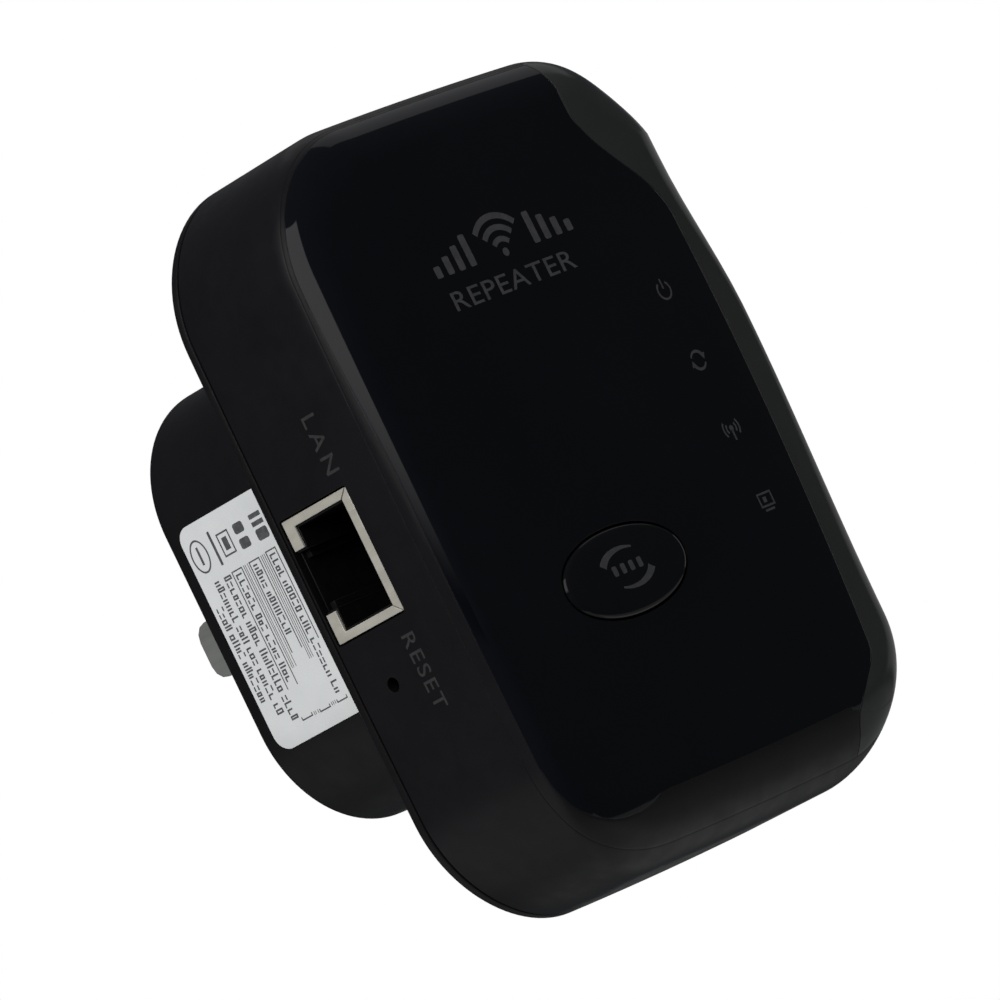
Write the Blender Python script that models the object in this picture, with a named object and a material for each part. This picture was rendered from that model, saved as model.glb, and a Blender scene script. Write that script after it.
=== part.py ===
"""Plug-in wifi range extender, modelled as an assembly of separate closed bodies.

Metres, +Z up.  Origin: centre of the plug boss's flat rear face, between the
two blades.  +Y points into the wall outlet, the glossy face looks along -Y,
+X is the right-hand side seen from the front.
Dimensions below are in millimetres, measured from the glossy face's foremost
plane (y) and from the middle of the body's height (z); P() puts them in the frame.
"""
import bpy
import bmesh
from math import sin, cos, pi, sqrt, radians, tau
from mathutils import Vector

# ---- driving dimensions (mm) -------------------------------------------------
BODY_W, BODY_H, BODY_D = 58.0, 83.0, 21.7   # outer body
BODY_R = (12.0, 14.5, 14.1, 13.7)  # its corners: top right, top left, bottom left, bottom right
CROWN = 0.5                        # how far the face bulges forward
FIL_LEFT_LOW, FIL_LEFT_HIGH = 1.6, 4.4      # left front edge radius, lower half and top corner
FIL_RIGHT_LOW, FIL_RIGHT_MID, FIL_RIGHT_HIGH = 3.4, 1.6, 4.2   # right front edge radius along its height
FIL_TOP, FIL_BOTTOM = 5.9, 8.0     # top and bottom front edge radii
FIL_CORNER = 1.75                  # extra softness of the top right corner
ROLL, ROLL_X = 0.33, 21.5          # the right flank falls away by this much, starting here
FIL_REAR = 0.8
WALL = 1.8
BOW = 0.55                         # sides bulge outward by this much at mid length
PART_Y = 3.4                       # face cover / side housing parting plane
REAR_PART_Y = 20.1                 # side housing / rear cover parting plane
GAP = 0.2                          # seam width
BOSS_W, BOSS_H, BOSS_D, BOSS_R = 42.4, 49.2, 22.4, 13.1   # plug boss
BOSS_Z = 0.8                       # boss centre above the body centre
BLADE_X, BLADE_W, BLADE_T, BLADE_L = 6.35, 6.35, 1.5, 16.0
SEAM_X, SEAM_END_X = 24.3, 16.3    # trim seam on the face: at mid height, and at both ends
BTN_X, BTN_Z, BTN_W, BTN_H = -6.7, -12.7, 18.6, 9.4       # pairing button
BTN_TRAVEL = 0.5
ICON_X = 17.3
ICON_Z = (12.7, 4.6, -3.5, -11.6)
JACK_Y0, JACK_Y1, JACK_ZC, JACK_W, JACK_L = 9.2, 19.6, -0.15, 13.8, 16.0
PIN_Y, PIN_Z, PIN_D = 15.1, -13.2, 1.6
BOARD_Y0, BOARD_Y1 = 7.4, 8.6      # main board
PBOARD_Y0, PBOARD_Y1 = 23.6, 24.8  # mains board

Y0 = -(BODY_D + BOSS_D)            # world y of the face plane
REAR_Y = BODY_D + BOSS_D           # outlet face, in working coordinates


def P(x, y, z):
    return Vector((x / 1000.0, (y + Y0) / 1000.0, (z - BOSS_Z) / 1000.0))


# ---- clean start ------------------------------------------------------------
for o in list(bpy.data.objects):
    bpy.data.objects.remove(o, do_unlink=True)

MATS = {}


def material(name, color, rough=0.5, metal=0.0, alpha=None):
    m = bpy.data.materials.new(name)
    m.use_nodes = True
    b = m.node_tree.nodes["Principled BSDF"]
    b.inputs["Base Color"].default_value = (*color, 1.0)
    b.inputs["Roughness"].default_value = rough
    b.inputs["Metallic"].default_value = metal
    return m


def finish_mesh(name, bm, color, rough=0.5, metal=0.0, smooth=True, origin=None):
    bmesh.ops.remove_doubles(bm, verts=bm.verts, dist=1e-8)
    bmesh.ops.recalc_face_normals(bm, faces=bm.faces)
    org = P(*origin) if origin else Vector((0, 0, 0))
    if origin:
        bmesh.ops.translate(bm, verts=bm.verts, vec=-org)
    me = bpy.data.meshes.new(name)
    bm.to_mesh(me)
    bm.free()
    if smooth:
        me.polygons.foreach_set("use_smooth", [True] * len(me.polygons))
        me.set_sharp_from_angle(angle=radians(32))
    ob = bpy.data.objects.new(name, me)
    bpy.context.scene.collection.objects.link(ob)
    ob.location = org
    me.materials.append(material(name + "_mat", color, rough, metal))
    return ob


# ---- outline helpers --------------------------------------------------------
def outline(w, h, r, n=8, zc=0.0, xc=0.0, bow=0.0, side=6):
    """Rounded rectangle, counter-clockwise in (x, z); returns points and normals."""
    pts = []
    quad = ((1, 1, 0.0), (-1, 1, pi / 2), (-1, -1, pi), (1, -1, 1.5 * pi))
    radii = r if isinstance(r, tuple) else (r,) * 4
    for q, (sx, sz, a0) in enumerate(quad):
        r = radii[q]
        cx, cz = sx * (w / 2 - r), sz * (h / 2 - r)
        for i in range(n + 1):
            a = a0 + (pi / 2) * i / n
            pts.append((cx + r * cos(a), cz + r * sin(a), cos(a), sin(a)))
        nx_, nz_, b0 = quad[(q + 1) % 4]
        rn = radii[(q + 1) % 4]
        ex, ez = nx_ * (w / 2 - rn) + rn * cos(b0), nz_ * (h / 2 - rn) + rn * sin(b0)
        lx, lz = pts[-1][0], pts[-1][1]
        for i in range(1, side):
            t = i / side
            pts.append((lx + (ex - lx) * t, lz + (ez - lz) * t, cos(b0), sin(b0)))
    out = []
    for x, z, nx, nz in pts:
        if bow:
            x += bow * nx * nx * nx * (1 - (z / (h / 2)) ** 2) * (1 if abs(nx) > 0.01 else 0)
            z += bow * nz * nz * nz * (1 - (x / (w / 2)) ** 2) * (1 if abs(nz) > 0.01 else 0)
        out.append((x + xc, z + zc, nx, nz))
    return out


def off(ol, d):
    """Offset inward by d (a number or a function of the normal)."""
    res = []
    for x, z, nx, nz in ol:
        dd = d(nx, nz, z) if callable(d) else d
        res.append((x - nx * dd, z - nz * dd))
    return res


def front_radius(nx, nz, z):
    t = min(max((z + 14.0) / 46.0, 0.0), 1.0)
    left = FIL_LEFT_LOW + (FIL_LEFT_HIGH - FIL_LEFT_LOW) * t * t * (3 - 2 * t)
    t = min(max((8.0 - z) / 33.0, 0.0), 1.0)
    right = FIL_RIGHT_MID + (FIL_RIGHT_LOW - FIL_RIGHT_MID) * t * t * (3 - 2 * t)
    t = min(max((z - 8.0) / 18.0, 0.0), 1.0)
    right += (FIL_RIGHT_HIGH - FIL_RIGHT_MID) * t * t * (3 - 2 * t)
    corner = FIL_CORNER * 3.08 * nx ** 3 * nz if nx > 0 and nz > 0 else 0.0
    return (right if nx > 0 else left) * nx * nx + (FIL_TOP if nz > 0 else FIL_BOTTOM) * nz * nz + corner


def loft(rings, cap_first=True, cap_last=True, closed=False):
    """rings: list of lists of (x, y, z) in working mm."""
    bm = bmesh.new()
    vr = [[bm.verts.new(P(*p)) for p in r] for r in rings]
    k = len(rings[0])
    pairs = list(zip(vr[:-1], vr[1:]))
    if closed:
        pairs.append((vr[-1], vr[0]))
    for a, b in pairs:
        for i in range(k):
            j = (i + 1) % k
            bm.faces.new((a[i], a[j], b[j], b[i]))
    if not closed:
        if cap_first:
            bm.faces.new(vr[0])
        if cap_last:
            bm.faces.new(vr[-1])
    return bm


def shell_loft(outer, inner):
    """Open tray: outer rings end in a cap, inner rings start from one, rims joined."""
    rings = outer + inner
    bm = bmesh.new()
    vr = [[bm.verts.new(P(*p)) for p in r] for r in rings]
    k = len(rings[0])
    n = len(outer)
    pairs = list(zip(vr[:n - 1], vr[1:n])) + list(zip(vr[n:-1], vr[n + 1:])) + [(vr[-1], vr[0])]
    for a, b in pairs:
        for i in range(k):
            j = (i + 1) % k
            bm.faces.new((a[i], a[j], b[j], b[i]))
    bm.faces.new(vr[n - 1])
    bm.faces.new(vr[n])
    return bm


def at(ring2, y):
    return [(x, y, z) for x, z in ring2]


def box_bm(x0, x1, y0, y1, z0, z1, bevel=0.0, seg=1):
    bm = bmesh.new()
    vs = [bm.verts.new(P(x, y, z)) for x in (x0, x1) for y in (y0, y1) for z in (z0, z1)]
    for f in ((0, 1, 3, 2), (4, 6, 7, 5), (0, 4, 5, 1), (2, 3, 7, 6), (0, 2, 6, 4), (1, 5, 7, 3)):
        bm.faces.new([vs[i] for i in f])
    if bevel:
        bmesh.ops.bevel(bm, geom=list(bm.edges), offset=bevel / 1000, segments=seg,
                        affect="EDGES", profile=0.5)
    return bm


def box(name, x0, x1, y0, y1, z0, z1, color, rough=0.5, metal=0.0, bevel=0.15, origin=None):
    return finish_mesh(name, box_bm(x0, x1, y0, y1, z0, z1, bevel), color, rough, metal,
                       smooth=bevel > 0, origin=origin)


def cyl_bm(axis, c, r, a0, a1, n=28, chamfer=0.0):
    """Cylinder along 'x', 'y' or 'z' through centre c (the two other coordinates)."""
    prof = [(a0, r - chamfer), (a0 + chamfer, r), (a1 - chamfer, r), (a1, r - chamfer)] \
        if chamfer else [(a0, r), (a1, r)]
    rings = []
    for a, rr in prof:
        ring = []
        for i in range(n):
            u, v = rr * cos(tau * i / n), rr * sin(tau * i / n)
            if axis == "x":
                ring.append((a, c[0] + u, c[1] + v))
            elif axis == "y":
                ring.append((c[0] + u, a, c[1] + v))
            else:
                ring.append((c[0] + u, c[1] + v, a))
        rings.append(ring)
    return loft(rings)


def cyl(name, axis, c, r, a0, a1, color, rough=0.5, metal=0.0, n=28, chamfer=0.15, origin=None):
    return finish_mesh(name, cyl_bm(axis, c, r, a0, a1, n, chamfer), color, rough, metal,
                       origin=origin)


def stepped(name, axis, c, steps, color, rough=0.5, metal=0.0, n=28, origin=None):
    """Turned piece: steps = [(along, radius), ...]."""
    rings = []
    for a, rr in steps:
        ring = []
        for i in range(n):
            u, v = rr * cos(tau * i / n), rr * sin(tau * i / n)
            ring.append((a, c[0] + u, c[1] + v) if axis == "x"
                        else (c[0] + u, a, c[1] + v) if axis == "y"
                        else (c[0] + u, c[1] + v, a))
        rings.append(ring)
    return finish_mesh(name, loft(rings), color, rough, metal, origin=origin)


def cutter(name, bm):
    ob = finish_mesh(name, bm, (1, 0, 0), smooth=False)
    ob.hide_render = True
    ob.display_type = "WIRE"
    return ob


def boolean(ob, cut, op="DIFFERENCE"):
    m = ob.modifiers.new(op.lower() + "_" + cut.name, "BOOLEAN")
    m.operation = op
    m.solver = "EXACT"
    m.object = cut
    return m


def oval(w, h, xc, zc, n=32, p=2.08):
    pts = []
    for i in range(n):
        a = tau * i / n
        c, s = cos(a), sin(a)
        x = w / 2 * (abs(c) ** (2 / p)) * (1 if c >= 0 else -1)
        z = h / 2 * (abs(s) ** (2 / p)) * (1 if s >= 0 else -1)
        pts.append((xc + x, zc + z))
    return pts


BODY = outline(BODY_W - 2 * BOW, BODY_H - 2 * BOW, BODY_R, n=9, bow=BOW, side=4)
BOSS = outline(BOSS_W, BOSS_H, BOSS_R, n=9, zc=BOSS_Z, side=4)


def skin(y, t=0.0, extra=0.0):
    """Outer skin of the body (t = depth below it, extra = further inset) at height y behind the face plane."""
    def d(nx, nz, z):
        r = front_radius(nx, nz, z)
        yy = y - CROWN - t
        rr = max(r - t, 0.6)
        if yy < rr:
            yy = max(yy, 0.0)
            return t + rr - sqrt(max(rr * rr - (rr - yy) ** 2, 0.0)) + extra
        return t + extra
    return off(BODY, d)


def scaled(ring2, s):
    return [(x * s, z * s) for x, z in ring2]


def face_rings(t, steps=3):
    """Crowned face: rings from the edge ring towards the middle, t below the skin."""
    edge = skin(CROWN + t, t)
    out = []
    for i in range(1, steps + 1):
        s = 1 - 0.9 * i / steps
        out.append([(x, CROWN * s * s + t, z) for x, z in scaled(edge, s)])
    return out


def rolled(ring):
    """Lets the right flank of the cover fall away from the face plane."""
    out = []
    for x, y, z in ring:
        u = min(max((x - ROLL_X) / 7.0, 0.0), 1.0)
        v = min(max((PART_Y - y) / (PART_Y - CROWN), 0.0), 1.0)
        out.append((x, y + ROLL * u ** 1.3 * v, z))
    return out


def cover_rings():
    ys = [PART_Y, 2.8, 2.2, 1.7, 1.25, 0.9, 0.66, 0.53, CROWN]
    r = [at(skin(y), y) for y in ys]
    outer = r + face_rings(0.0)
    r = face_rings(WALL)[::-1]
    r.append(at(skin(CROWN + WALL, WALL), CROWN + WALL))
    r.append(at(skin(2.6, WALL), 2.6))
    r.append(at(skin(3.0, WALL + 0.5), 3.0))
    r.append(at(skin(5.4, WALL, 1.4), 5.4))
    r.append(at(skin(5.4, WALL, 0.35), 5.4))
    r.append(at(skin(4.05, WALL, 0.35), 4.05))
    r.append(at(skin(PART_Y, WALL * 0.5), PART_Y))
    return shell_loft([rolled(q) for q in outer], [rolled(q) for q in r])


# ---- face cover and its trim -------------------------------------------------
def seam_x(z):
    top = min(max((34.0 - z) / 14.0, 0.0), 1.0)
    low = min(max((z + 37.0) / 7.5, 0.0), 1.0)
    w = top * top * (3 - 2 * top) * low * low * (3 - 2 * low)
    return SEAM_END_X + (SEAM_X - 2.1 * ((z - 8.0) / 38.0) ** 2 - SEAM_END_X) * w


def seam_cutter(name, shift, sign):
    """Solid on one side of the curved seam line, shifted by half the gap."""
    zs = [-60, -48] + [-42 + 84 * i / 56 for i in range(57)] + [48, 60]
    line = [(seam_x(z) + shift, z) for z in zs]
    far = 60 if sign > 0 else -60
    poly = line + [(far, 60), (far, -60)]
    bm = bmesh.new()
    a = [bm.verts.new(P(x, -6, z)) for x, z in poly]
    b = [bm.verts.new(P(x, 12, z)) for x, z in poly]
    bm.faces.new(a)
    bm.faces.new(b)
    k = len(poly)
    for i in range(k):
        j = (i + 1) % k
        bm.faces.new((a[i], a[j], b[j], b[i]))
    return cutter(name, bm)


front = finish_mesh("front_cover", cover_rings(), (0.006, 0.007, 0.010), 0.06)
trim = finish_mesh("side_trim_right", cover_rings(), (0.02, 0.02, 0.021), 0.22)
boolean(front, seam_cutter("cut_right_of_seam", -GAP / 2, 1))
boolean(trim, seam_cutter("keep_right_of_seam", GAP / 2, 1), "INTERSECT")
boolean(front, cutter("cut_button_hole",
                      loft([at(oval(BTN_W + 0.5, BTN_H + 0.5, BTN_X, BTN_Z), y) for y in (-3, 6)])))
POSTS = ((-17.0, 25.0), (11.0, -26.0))
for i, (px, pz) in enumerate(POSTS):
    boolean(front, cutter("add_post_%d" % i, cyl_bm("y", (px, pz), 2.4, 1.2, BOARD_Y0 - 0.1, 24)), "UNION")
    boolean(front, cutter("cut_pilot_%d" % i, cyl_bm("y", (px, pz), 1.15, 3.4, BOARD_Y0 + 2, 20)))

# ---- side housing ------------------------------------------------------------
ys = [PART_Y + GAP, 4.2, 5.0, 6.2, 8.5, REAR_PART_Y]
inner_ys = [REAR_PART_Y, 8.5, 6.8, 5.4, 4.05]
hr = [at(skin(y), y) for y in ys] + [at(skin(y, WALL), y) for y in inner_ys] \
    + [at(skin(PART_Y + GAP, WALL * 0.55), PART_Y + GAP)]
housing = finish_mesh("side_housing", loft(hr, closed=True), (0.012, 0.010, 0.012), 0.42)
jz0, jz1 = JACK_ZC - JACK_W / 2, JACK_ZC + JACK_W / 2
boolean(housing, cutter("cut_lan_opening",
                        box_bm(-35, -24, JACK_Y0 - 0.25, JACK_Y1 + 0.25, jz0 - 0.25, jz1 + 0.25)))
boolean(housing, cutter("cut_reset_hole", cyl_bm("x", (PIN_Y, PIN_Z), PIN_D / 2, -35, -24, 24)))

# ---- rear cover with the plug boss --------------------------------------------
ry = REAR_PART_Y + GAP
rr_ = [at(off(BODY, 0), ry), at(off(BODY, 0), BODY_D - FIL_REAR)]
for a in (30, 60, 90):
    rr_.append(at(off(BODY, FIL_REAR * (1 - cos(radians(a)))), BODY_D - FIL_REAR * (1 - sin(radians(a)))))
rr_.append(at(off(BOSS, -0.8), BODY_D))
rr_.append(at(off(BOSS, -0.25), BODY_D + 0.3))
rr_.append(at(off(BOSS, 0), BODY_D + 0.9))
BFIL = 1.1
rr_.append(at(off(BOSS, 0), REAR_Y - BFIL))
for a in (25, 50, 72, 90):
    rr_.append(at(off(BOSS, BFIL * (1 - cos(radians(a)))), REAR_Y - BFIL * (1 - sin(radians(a)))))
rr_.append(at(off(BOSS, WALL), REAR_Y - 1.8))
rr_.append(at(off(BOSS, WALL), ry))
rear = finish_mesh("rear_cover", shell_loft(rr_[:-2], rr_[-2:]), (0.012, 0.010, 0.012), 0.45)
for s in (-1, 1):
    boolean(rear, cutter("cut_blade_slot_%d" % (s + 1),
                         box_bm(s * BLADE_X - BLADE_T / 2 - 0.15, s * BLADE_X + BLADE_T / 2 + 0.15,
                                REAR_Y - 4, REAR_Y + 3,
                                BOSS_Z - BLADE_W / 2 - 0.15, BOSS_Z + BLADE_W / 2 + 0.15)))

# ---- plug ---------------------------------------------------------------------
carrier = box("blade_carrier", -12, 12, REAR_Y - 6.2, REAR_Y - 2.1, BOSS_Z - 6.5, BOSS_Z + 6.5,
              (0.03, 0.03, 0.03), 0.5, bevel=0.5)
for s in (-1, 1):
    boolean(carrier, cutter("cut_carrier_%d" % (s + 1),
                            box_bm(s * BLADE_X - BLADE_T / 2 - 0.1, s * BLADE_X + BLADE_T / 2 + 0.1,
                                   REAR_Y - 8, REAR_Y,
                                   BOSS_Z - BLADE_W / 2 - 0.1, BOSS_Z + BLADE_W / 2 + 0.1)))


def blade(name, x):
    """Flat blade with a rounded, chamfered tip."""
    y0, y1 = REAR_Y - 8.6, REAR_Y + BLADE_L
    h = BLADE_W / 2
    side = [(y0, -h + 1.2), (y0, h - 1.2), (y0 + 2.0, h - 1.2), (y0 + 2.0, h), (y1 - 1.8, h)]
    for a in (30, 60, 90):
        side.append((y1 - 1.8 + 1.8 * sin(radians(a)), h - 1.8 * (1 - cos(radians(a)))))
    side += [(yy, -zz) for yy, zz in side[::-1] if yy > y0 + 2.5]
    side += [(y0 + 2.0, -h), (y0 + 2.0, -h + 1.2)]
    bm = bmesh.new()
    a = [bm.verts.new(P(x - BLADE_T / 2, yy, BOSS_Z + zz)) for yy, zz in side]
    b = [bm.verts.new(P(x + BLADE_T / 2, yy, BOSS_Z + zz)) for yy, zz in side]
    bm.faces.new(a)
    bm.faces.new(b)
    n = len(side)
    for i in range(n):
        j = (i + 1) % n
        bm.faces.new((a[i], a[j], b[j], b[i]))
    return finish_mesh(name, bm, (0.72, 0.72, 0.70), 0.28, 1.0)


blade("blade_left", -BLADE_X)
blade("blade_right", BLADE_X)

# ---- rating label on the boss's left wall ---------------------------------------
LAB_Y0, LAB_Y1, LAB_Z0, LAB_Z1 = 25.6, 41.7, -13.3, 12.2


def on_boss(z):
    """Left wall x and normal at height z."""
    half, zz = BOSS_H / 2 - BOSS_R, z - BOSS_Z
    if abs(zz) <= half:
        return -BOSS_W / 2, -1.0, 0.0
    dz = abs(zz) - half
    c = sqrt(BOSS_R ** 2 - dz ** 2)
    return -(BOSS_W / 2 - BOSS_R) - c, -c / BOSS_R, (1 if zz > 0 else -1) * dz / BOSS_R


def label_rows():
    rows = []
    r, n = 1.6, 30
    for i in range(n + 1):
        z = LAB_Z0 + (LAB_Z1 - LAB_Z0) * i / n
        e = min(z - LAB_Z0, LAB_Z1 - z)
        cut = r - sqrt(max(r * r - (r - e) ** 2, 0)) if e < r else 0.0
        x, nx, nz = on_boss(z)
        lo, hi = (x + nx * 0.04, z + nz * 0.04), (x + nx * 0.20, z + nz * 0.20)
        rows.append([(lo[0], LAB_Y0, lo[1]), (hi[0], LAB_Y0, hi[1]),
                     (hi[0], LAB_Y1 - cut, hi[1]), (lo[0], LAB_Y1 - cut, lo[1])])
    return rows


finish_mesh("rating_label", loft(label_rows()), (0.80, 0.81, 0.80), 0.5)

# ---- LAN socket -------------------------------------------------------------------
JX0 = -BODY_W / 2 + 0.15
JX1 = JX0 + JACK_L
shell = box("lan_socket_shield", JX0, JX1, JACK_Y0, JACK_Y1, jz0, jz1, (0.62, 0.58, 0.46), 0.3, 1.0,
            bevel=0.12)
AP_Y0, AP_Y1, AP_Z = JACK_Y0 + 1.15, JACK_Y1 - 1.5, 11.9
boolean(shell, cutter("cut_socket_mouth", box_bm(JX0 - 2, JX1 - 0.9, AP_Y0, AP_Y1,
                                                 JACK_ZC - AP_Z / 2, JACK_ZC + AP_Z / 2)))
boolean(shell, cutter("cut_latch_notch", box_bm(JX0 - 2, JX1 - 3.5, AP_Y1 - 1, JACK_Y1 + 1,
                                                JACK_ZC - 3.6, JACK_ZC + 3.6)))
# insulator block at the back of the socket, carrying the contacts along its front wall
ins = box("lan_socket_insert", JX0 + 11.0, JX1 - 1.2, AP_Y0 + 0.25, AP_Y1 - 0.25,
          JACK_ZC - AP_Z / 2 + 0.25, JACK_ZC + AP_Z / 2 - 0.25, (0.02, 0.02, 0.022), 0.55, bevel=0.1)
boolean(ins, cutter("cut_insert_comb", box_bm(JX0 + 9.0, JX0 + 13.4, AP_Y0 - 1, AP_Y0 + 2.3,
                                              JACK_ZC - 4.9, JACK_ZC + 4.9)))


def comb():
    """Eight sprung contact wires joined by the carrier strip they are moulded into."""
    rings = []
    t = 0.28
    pitch = 1.02
    z0 = JACK_ZC - 3.5 * pitch
    prof_lo = []
    bm = bmesh.new()
    # carrier strip
    base = [(JX0 + 12.2, AP_Y0 + 0.6), (JX0 + 12.9, AP_Y0 + 0.6), (JX0 + 12.9, AP_Y0 + 1.3), (JX0 + 12.2, AP_Y0 + 1.3)]
    zs = [z0 - 0.6]
    for i in range(8):
        zs += [z0 + i * pitch - t, z0 + i * pitch + t]
    zs.append(z0 + 7 * pitch + 0.6)
    prev = None
    verts = []
    for z in zs:
        verts.append([bm.verts.new(P(x, y, z)) for x, y in base])
    bm.faces.new(verts[0])
    bm.faces.new(verts[-1])
    for i in range(len(zs) - 1):
        a, b = verts[i], verts[i + 1]
        finger = i % 2 == 1
        for k_ in range(4):
            j = (k_ + 1) % 4
            if finger and k_ == 3:
                # the finger leaves the strip through this side and dips into the socket
                path = [(JX0 + 11.0, AP_Y0 + 0.55, AP_Y0 + 0.85), (JX0 + 4.0, AP_Y0 + 0.5, AP_Y0 + 0.8),
                        (JX0 + 3.4, AP_Y0 + 0.35, AP_Y0 + 0.65)]
                # a[3] (back, y high) a[0] (y low)
                last = (a[3], a[0], b[0], b[3])
                for x, yl, yh in path:
                    nxt = (bm.verts.new(P(x, yh, zs[i])), bm.verts.new(P(x, yl, zs[i])),
                           bm.verts.new(P(x, yl, zs[i + 1])), bm.verts.new(P(x, yh, zs[i + 1])))
                    for q in range(4):
                        w = (q + 1) % 4
                        bm.faces.new((last[q], last[w], nxt[w], nxt[q]))
                    last = nxt
                bm.faces.new(last)
            else:
                bm.faces.new((a[k_], a[j], b[j], b[k_]))
    return bm


finish_mesh("lan_socket_contacts", comb(), (0.80, 0.62, 0.25), 0.25, 1.0, smooth=False)

# ---- main board and what sits on it -------------------------------------------------
bo = outline(49.4, 74.0, 11.5, n=8, side=4)
board = finish_mesh("main_board", loft([at(off(bo, 0), BOARD_Y0), at(off(bo, 0), BOARD_Y1)]),
                    (0.02, 0.11, 0.05), 0.4, smooth=False)
for i, (px, pz) in enumerate(POSTS):
    boolean(board, cutter("cut_board_hole_%d" % i, cyl_bm("y", (px, pz), 1.3, 5, 11, 20)))
    stepped("board_screw_%d" % (i + 1), "y", (px, pz),
            [(4.2, 0.5), (4.9, 0.95), (BOARD_Y1 + 0.1, 0.95), (BOARD_Y1 + 0.1, 2.0),
             (BOARD_Y1 + 0.9, 1.9), (BOARD_Y1 + 1.4, 1.1)], (0.6, 0.6, 0.62), 0.3, 1.0, n=20)
NAMES = ("led_power", "led_sync", "led_wireless", "led_lan")
for nm, z in zip(NAMES, ICON_Z):
    box(nm, ICON_X - 0.8, ICON_X + 0.8, BOARD_Y0 - 0.95, BOARD_Y0 - 0.05, z - 0.6, z + 0.6,
        (0.85, 0.82, 0.55), 0.3, bevel=0.1)
guide = box("led_light_guide", ICON_X - 0.9, ICON_X + 0.9, 3.6, 5.0, ICON_Z[3] - 3.2, ICON_Z[0] + 3.2,
            (0.75, 0.8, 0.82), 0.12, bevel=0.25)
for i, z in enumerate(ICON_Z):
    boolean(guide, cutter("add_guide_post_%d" % i, cyl_bm("y", (ICON_X, z), 1.5, 2.75, 6.1, 20)), "UNION")
box("radio_chip", -1.0, 9.0, BOARD_Y0 - 1.05, BOARD_Y0 - 0.05, 1.0, 11.0, (0.02, 0.02, 0.02), 0.6)
box("memory_chip", -1.0, 4.0, BOARD_Y0 - 1.3, BOARD_Y0 - 0.05, -8.2, -2.0, (0.02, 0.02, 0.02), 0.6)
box("clock_crystal", 10.4, 13.6, BOARD_Y0 - 0.85, BOARD_Y0 - 0.05, 15.0, 17.5, (0.7, 0.7, 0.68), 0.3, 1.0)
box("lan_transformer", -10.0, -3.0, BOARD_Y1 + 0.05, BOARD_Y1 + 4.0, -6.6, 6.2, (0.02, 0.02, 0.02), 0.6)
for nm, zc in (("antenna_top", 31.6), ("antenna_bottom", -31.6)):
    box(nm, -9.0, 15.0, BOARD_Y1 + 0.05, BOARD_Y1 + 5.0, zc - 0.25, zc + 0.25, (0.75, 0.6, 0.35), 0.3, 1.0,
        bevel=0.08)

# ---- pairing button and its switch ----------------------------------------------------
BCEN = (BTN_X, 0.0, BTN_Z)
b_r = [at(oval(BTN_W * 0.30, BTN_H * 0.30, BTN_X, BTN_Z), -0.38),
       at(oval(BTN_W * 0.62, BTN_H * 0.62, BTN_X, BTN_Z), -0.34),
       at(oval(BTN_W * 0.85, BTN_H * 0.82, BTN_X, BTN_Z), -0.24),
       at(oval(BTN_W - 0.5, BTN_H - 0.5, BTN_X, BTN_Z), -0.10),
       at(oval(BTN_W - 0.1, BTN_H - 0.1, BTN_X, BTN_Z), 0.16),
       at(oval(BTN_W, BTN_H, BTN_X, BTN_Z), 0.45),
       at(oval(BTN_W, BTN_H, BTN_X, BTN_Z), 2.75),
       at(oval(BTN_W + 1.6, BTN_H + 1.6, BTN_X, BTN_Z), 2.75),
       at(oval(BTN_W + 1.6, BTN_H + 1.6, BTN_X, BTN_Z), 3.25),
       at(oval(4.0, 4.0, BTN_X, BTN_Z, p=2.0), 3.25),
       at(oval(4.0, 4.0, BTN_X, BTN_Z, p=2.0), 3.6)]
finish_mesh("pairing_button", loft(b_r), (0.007, 0.008, 0.011), 0.08, origin=BCEN)
sw = box("pairing_switch_body", BTN_X - 3, BTN_X + 3, 4.9, BOARD_Y0 - 0.05, BTN_Z - 3, BTN_Z + 3,
         (0.04, 0.04, 0.045), 0.5, bevel=0.15)
boolean(sw, cutter("cut_switch_bore", cyl_bm("y", (BTN_X, BTN_Z), 1.75, 3, 6.75, 24)))
cyl("pairing_switch_plunger", "y", (BTN_X, BTN_Z), 1.5, 3.9, 5.95, (0.5, 0.5, 0.5), 0.4, origin=BCEN)

# ---- reset switch behind the pinhole -----------------------------------------------------
RCEN = (-22.5, PIN_Y, PIN_Z)
rs = box("reset_switch_body", -22.6, -18.2, BOARD_Y1 + 0.05, 17.6, PIN_Z - 2.9, PIN_Z + 2.9,
         (0.04, 0.04, 0.045), 0.5, bevel=0.15)
boolean(rs, cutter("cut_reset_bore", cyl_bm("x", (PIN_Y, PIN_Z), 1.45, -25, -19.4, 24)))
cyl("reset_switch_plunger", "x", (PIN_Y, PIN_Z), 1.2, -24.4, -20.2, (0.6, 0.6, 0.55), 0.4, n=24, origin=RCEN)

# ---- mains supply inside the boss -----------------------------------------------------------
pb = outline(36.6, 44.0, 10.5, n=8, zc=BOSS_Z, side=4)
finish_mesh("mains_board", loft([at(off(pb, 0), PBOARD_Y0), at(off(pb, 0), PBOARD_Y1)]),
            (0.10, 0.07, 0.02), 0.5, smooth=False)
py = PBOARD_Y1 + 0.05
box("mains_transformer", -7.5, 6.5, py, py + 9.6, BOSS_Z + 8.2, BOSS_Z + 20.4, (0.75, 0.62, 0.10), 0.5, bevel=0.5)
cyl("mains_capacitor", "y", (12.2, BOSS_Z - 1.0), 4.0, py, py + 10.6, (0.02, 0.02, 0.05), 0.3, chamfer=0.4)
cyl("output_capacitor", "y", (12.2, BOSS_Z + 11.0), 3.15, py, py + 10.8, (0.02, 0.02, 0.05), 0.3, chamfer=0.4)
box("bridge_rectifier", -5.0, 1.6, py, py + 2.6, BOSS_Z - 16.5, BOSS_Z - 11.6, (0.02, 0.02, 0.02), 0.6)
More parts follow.
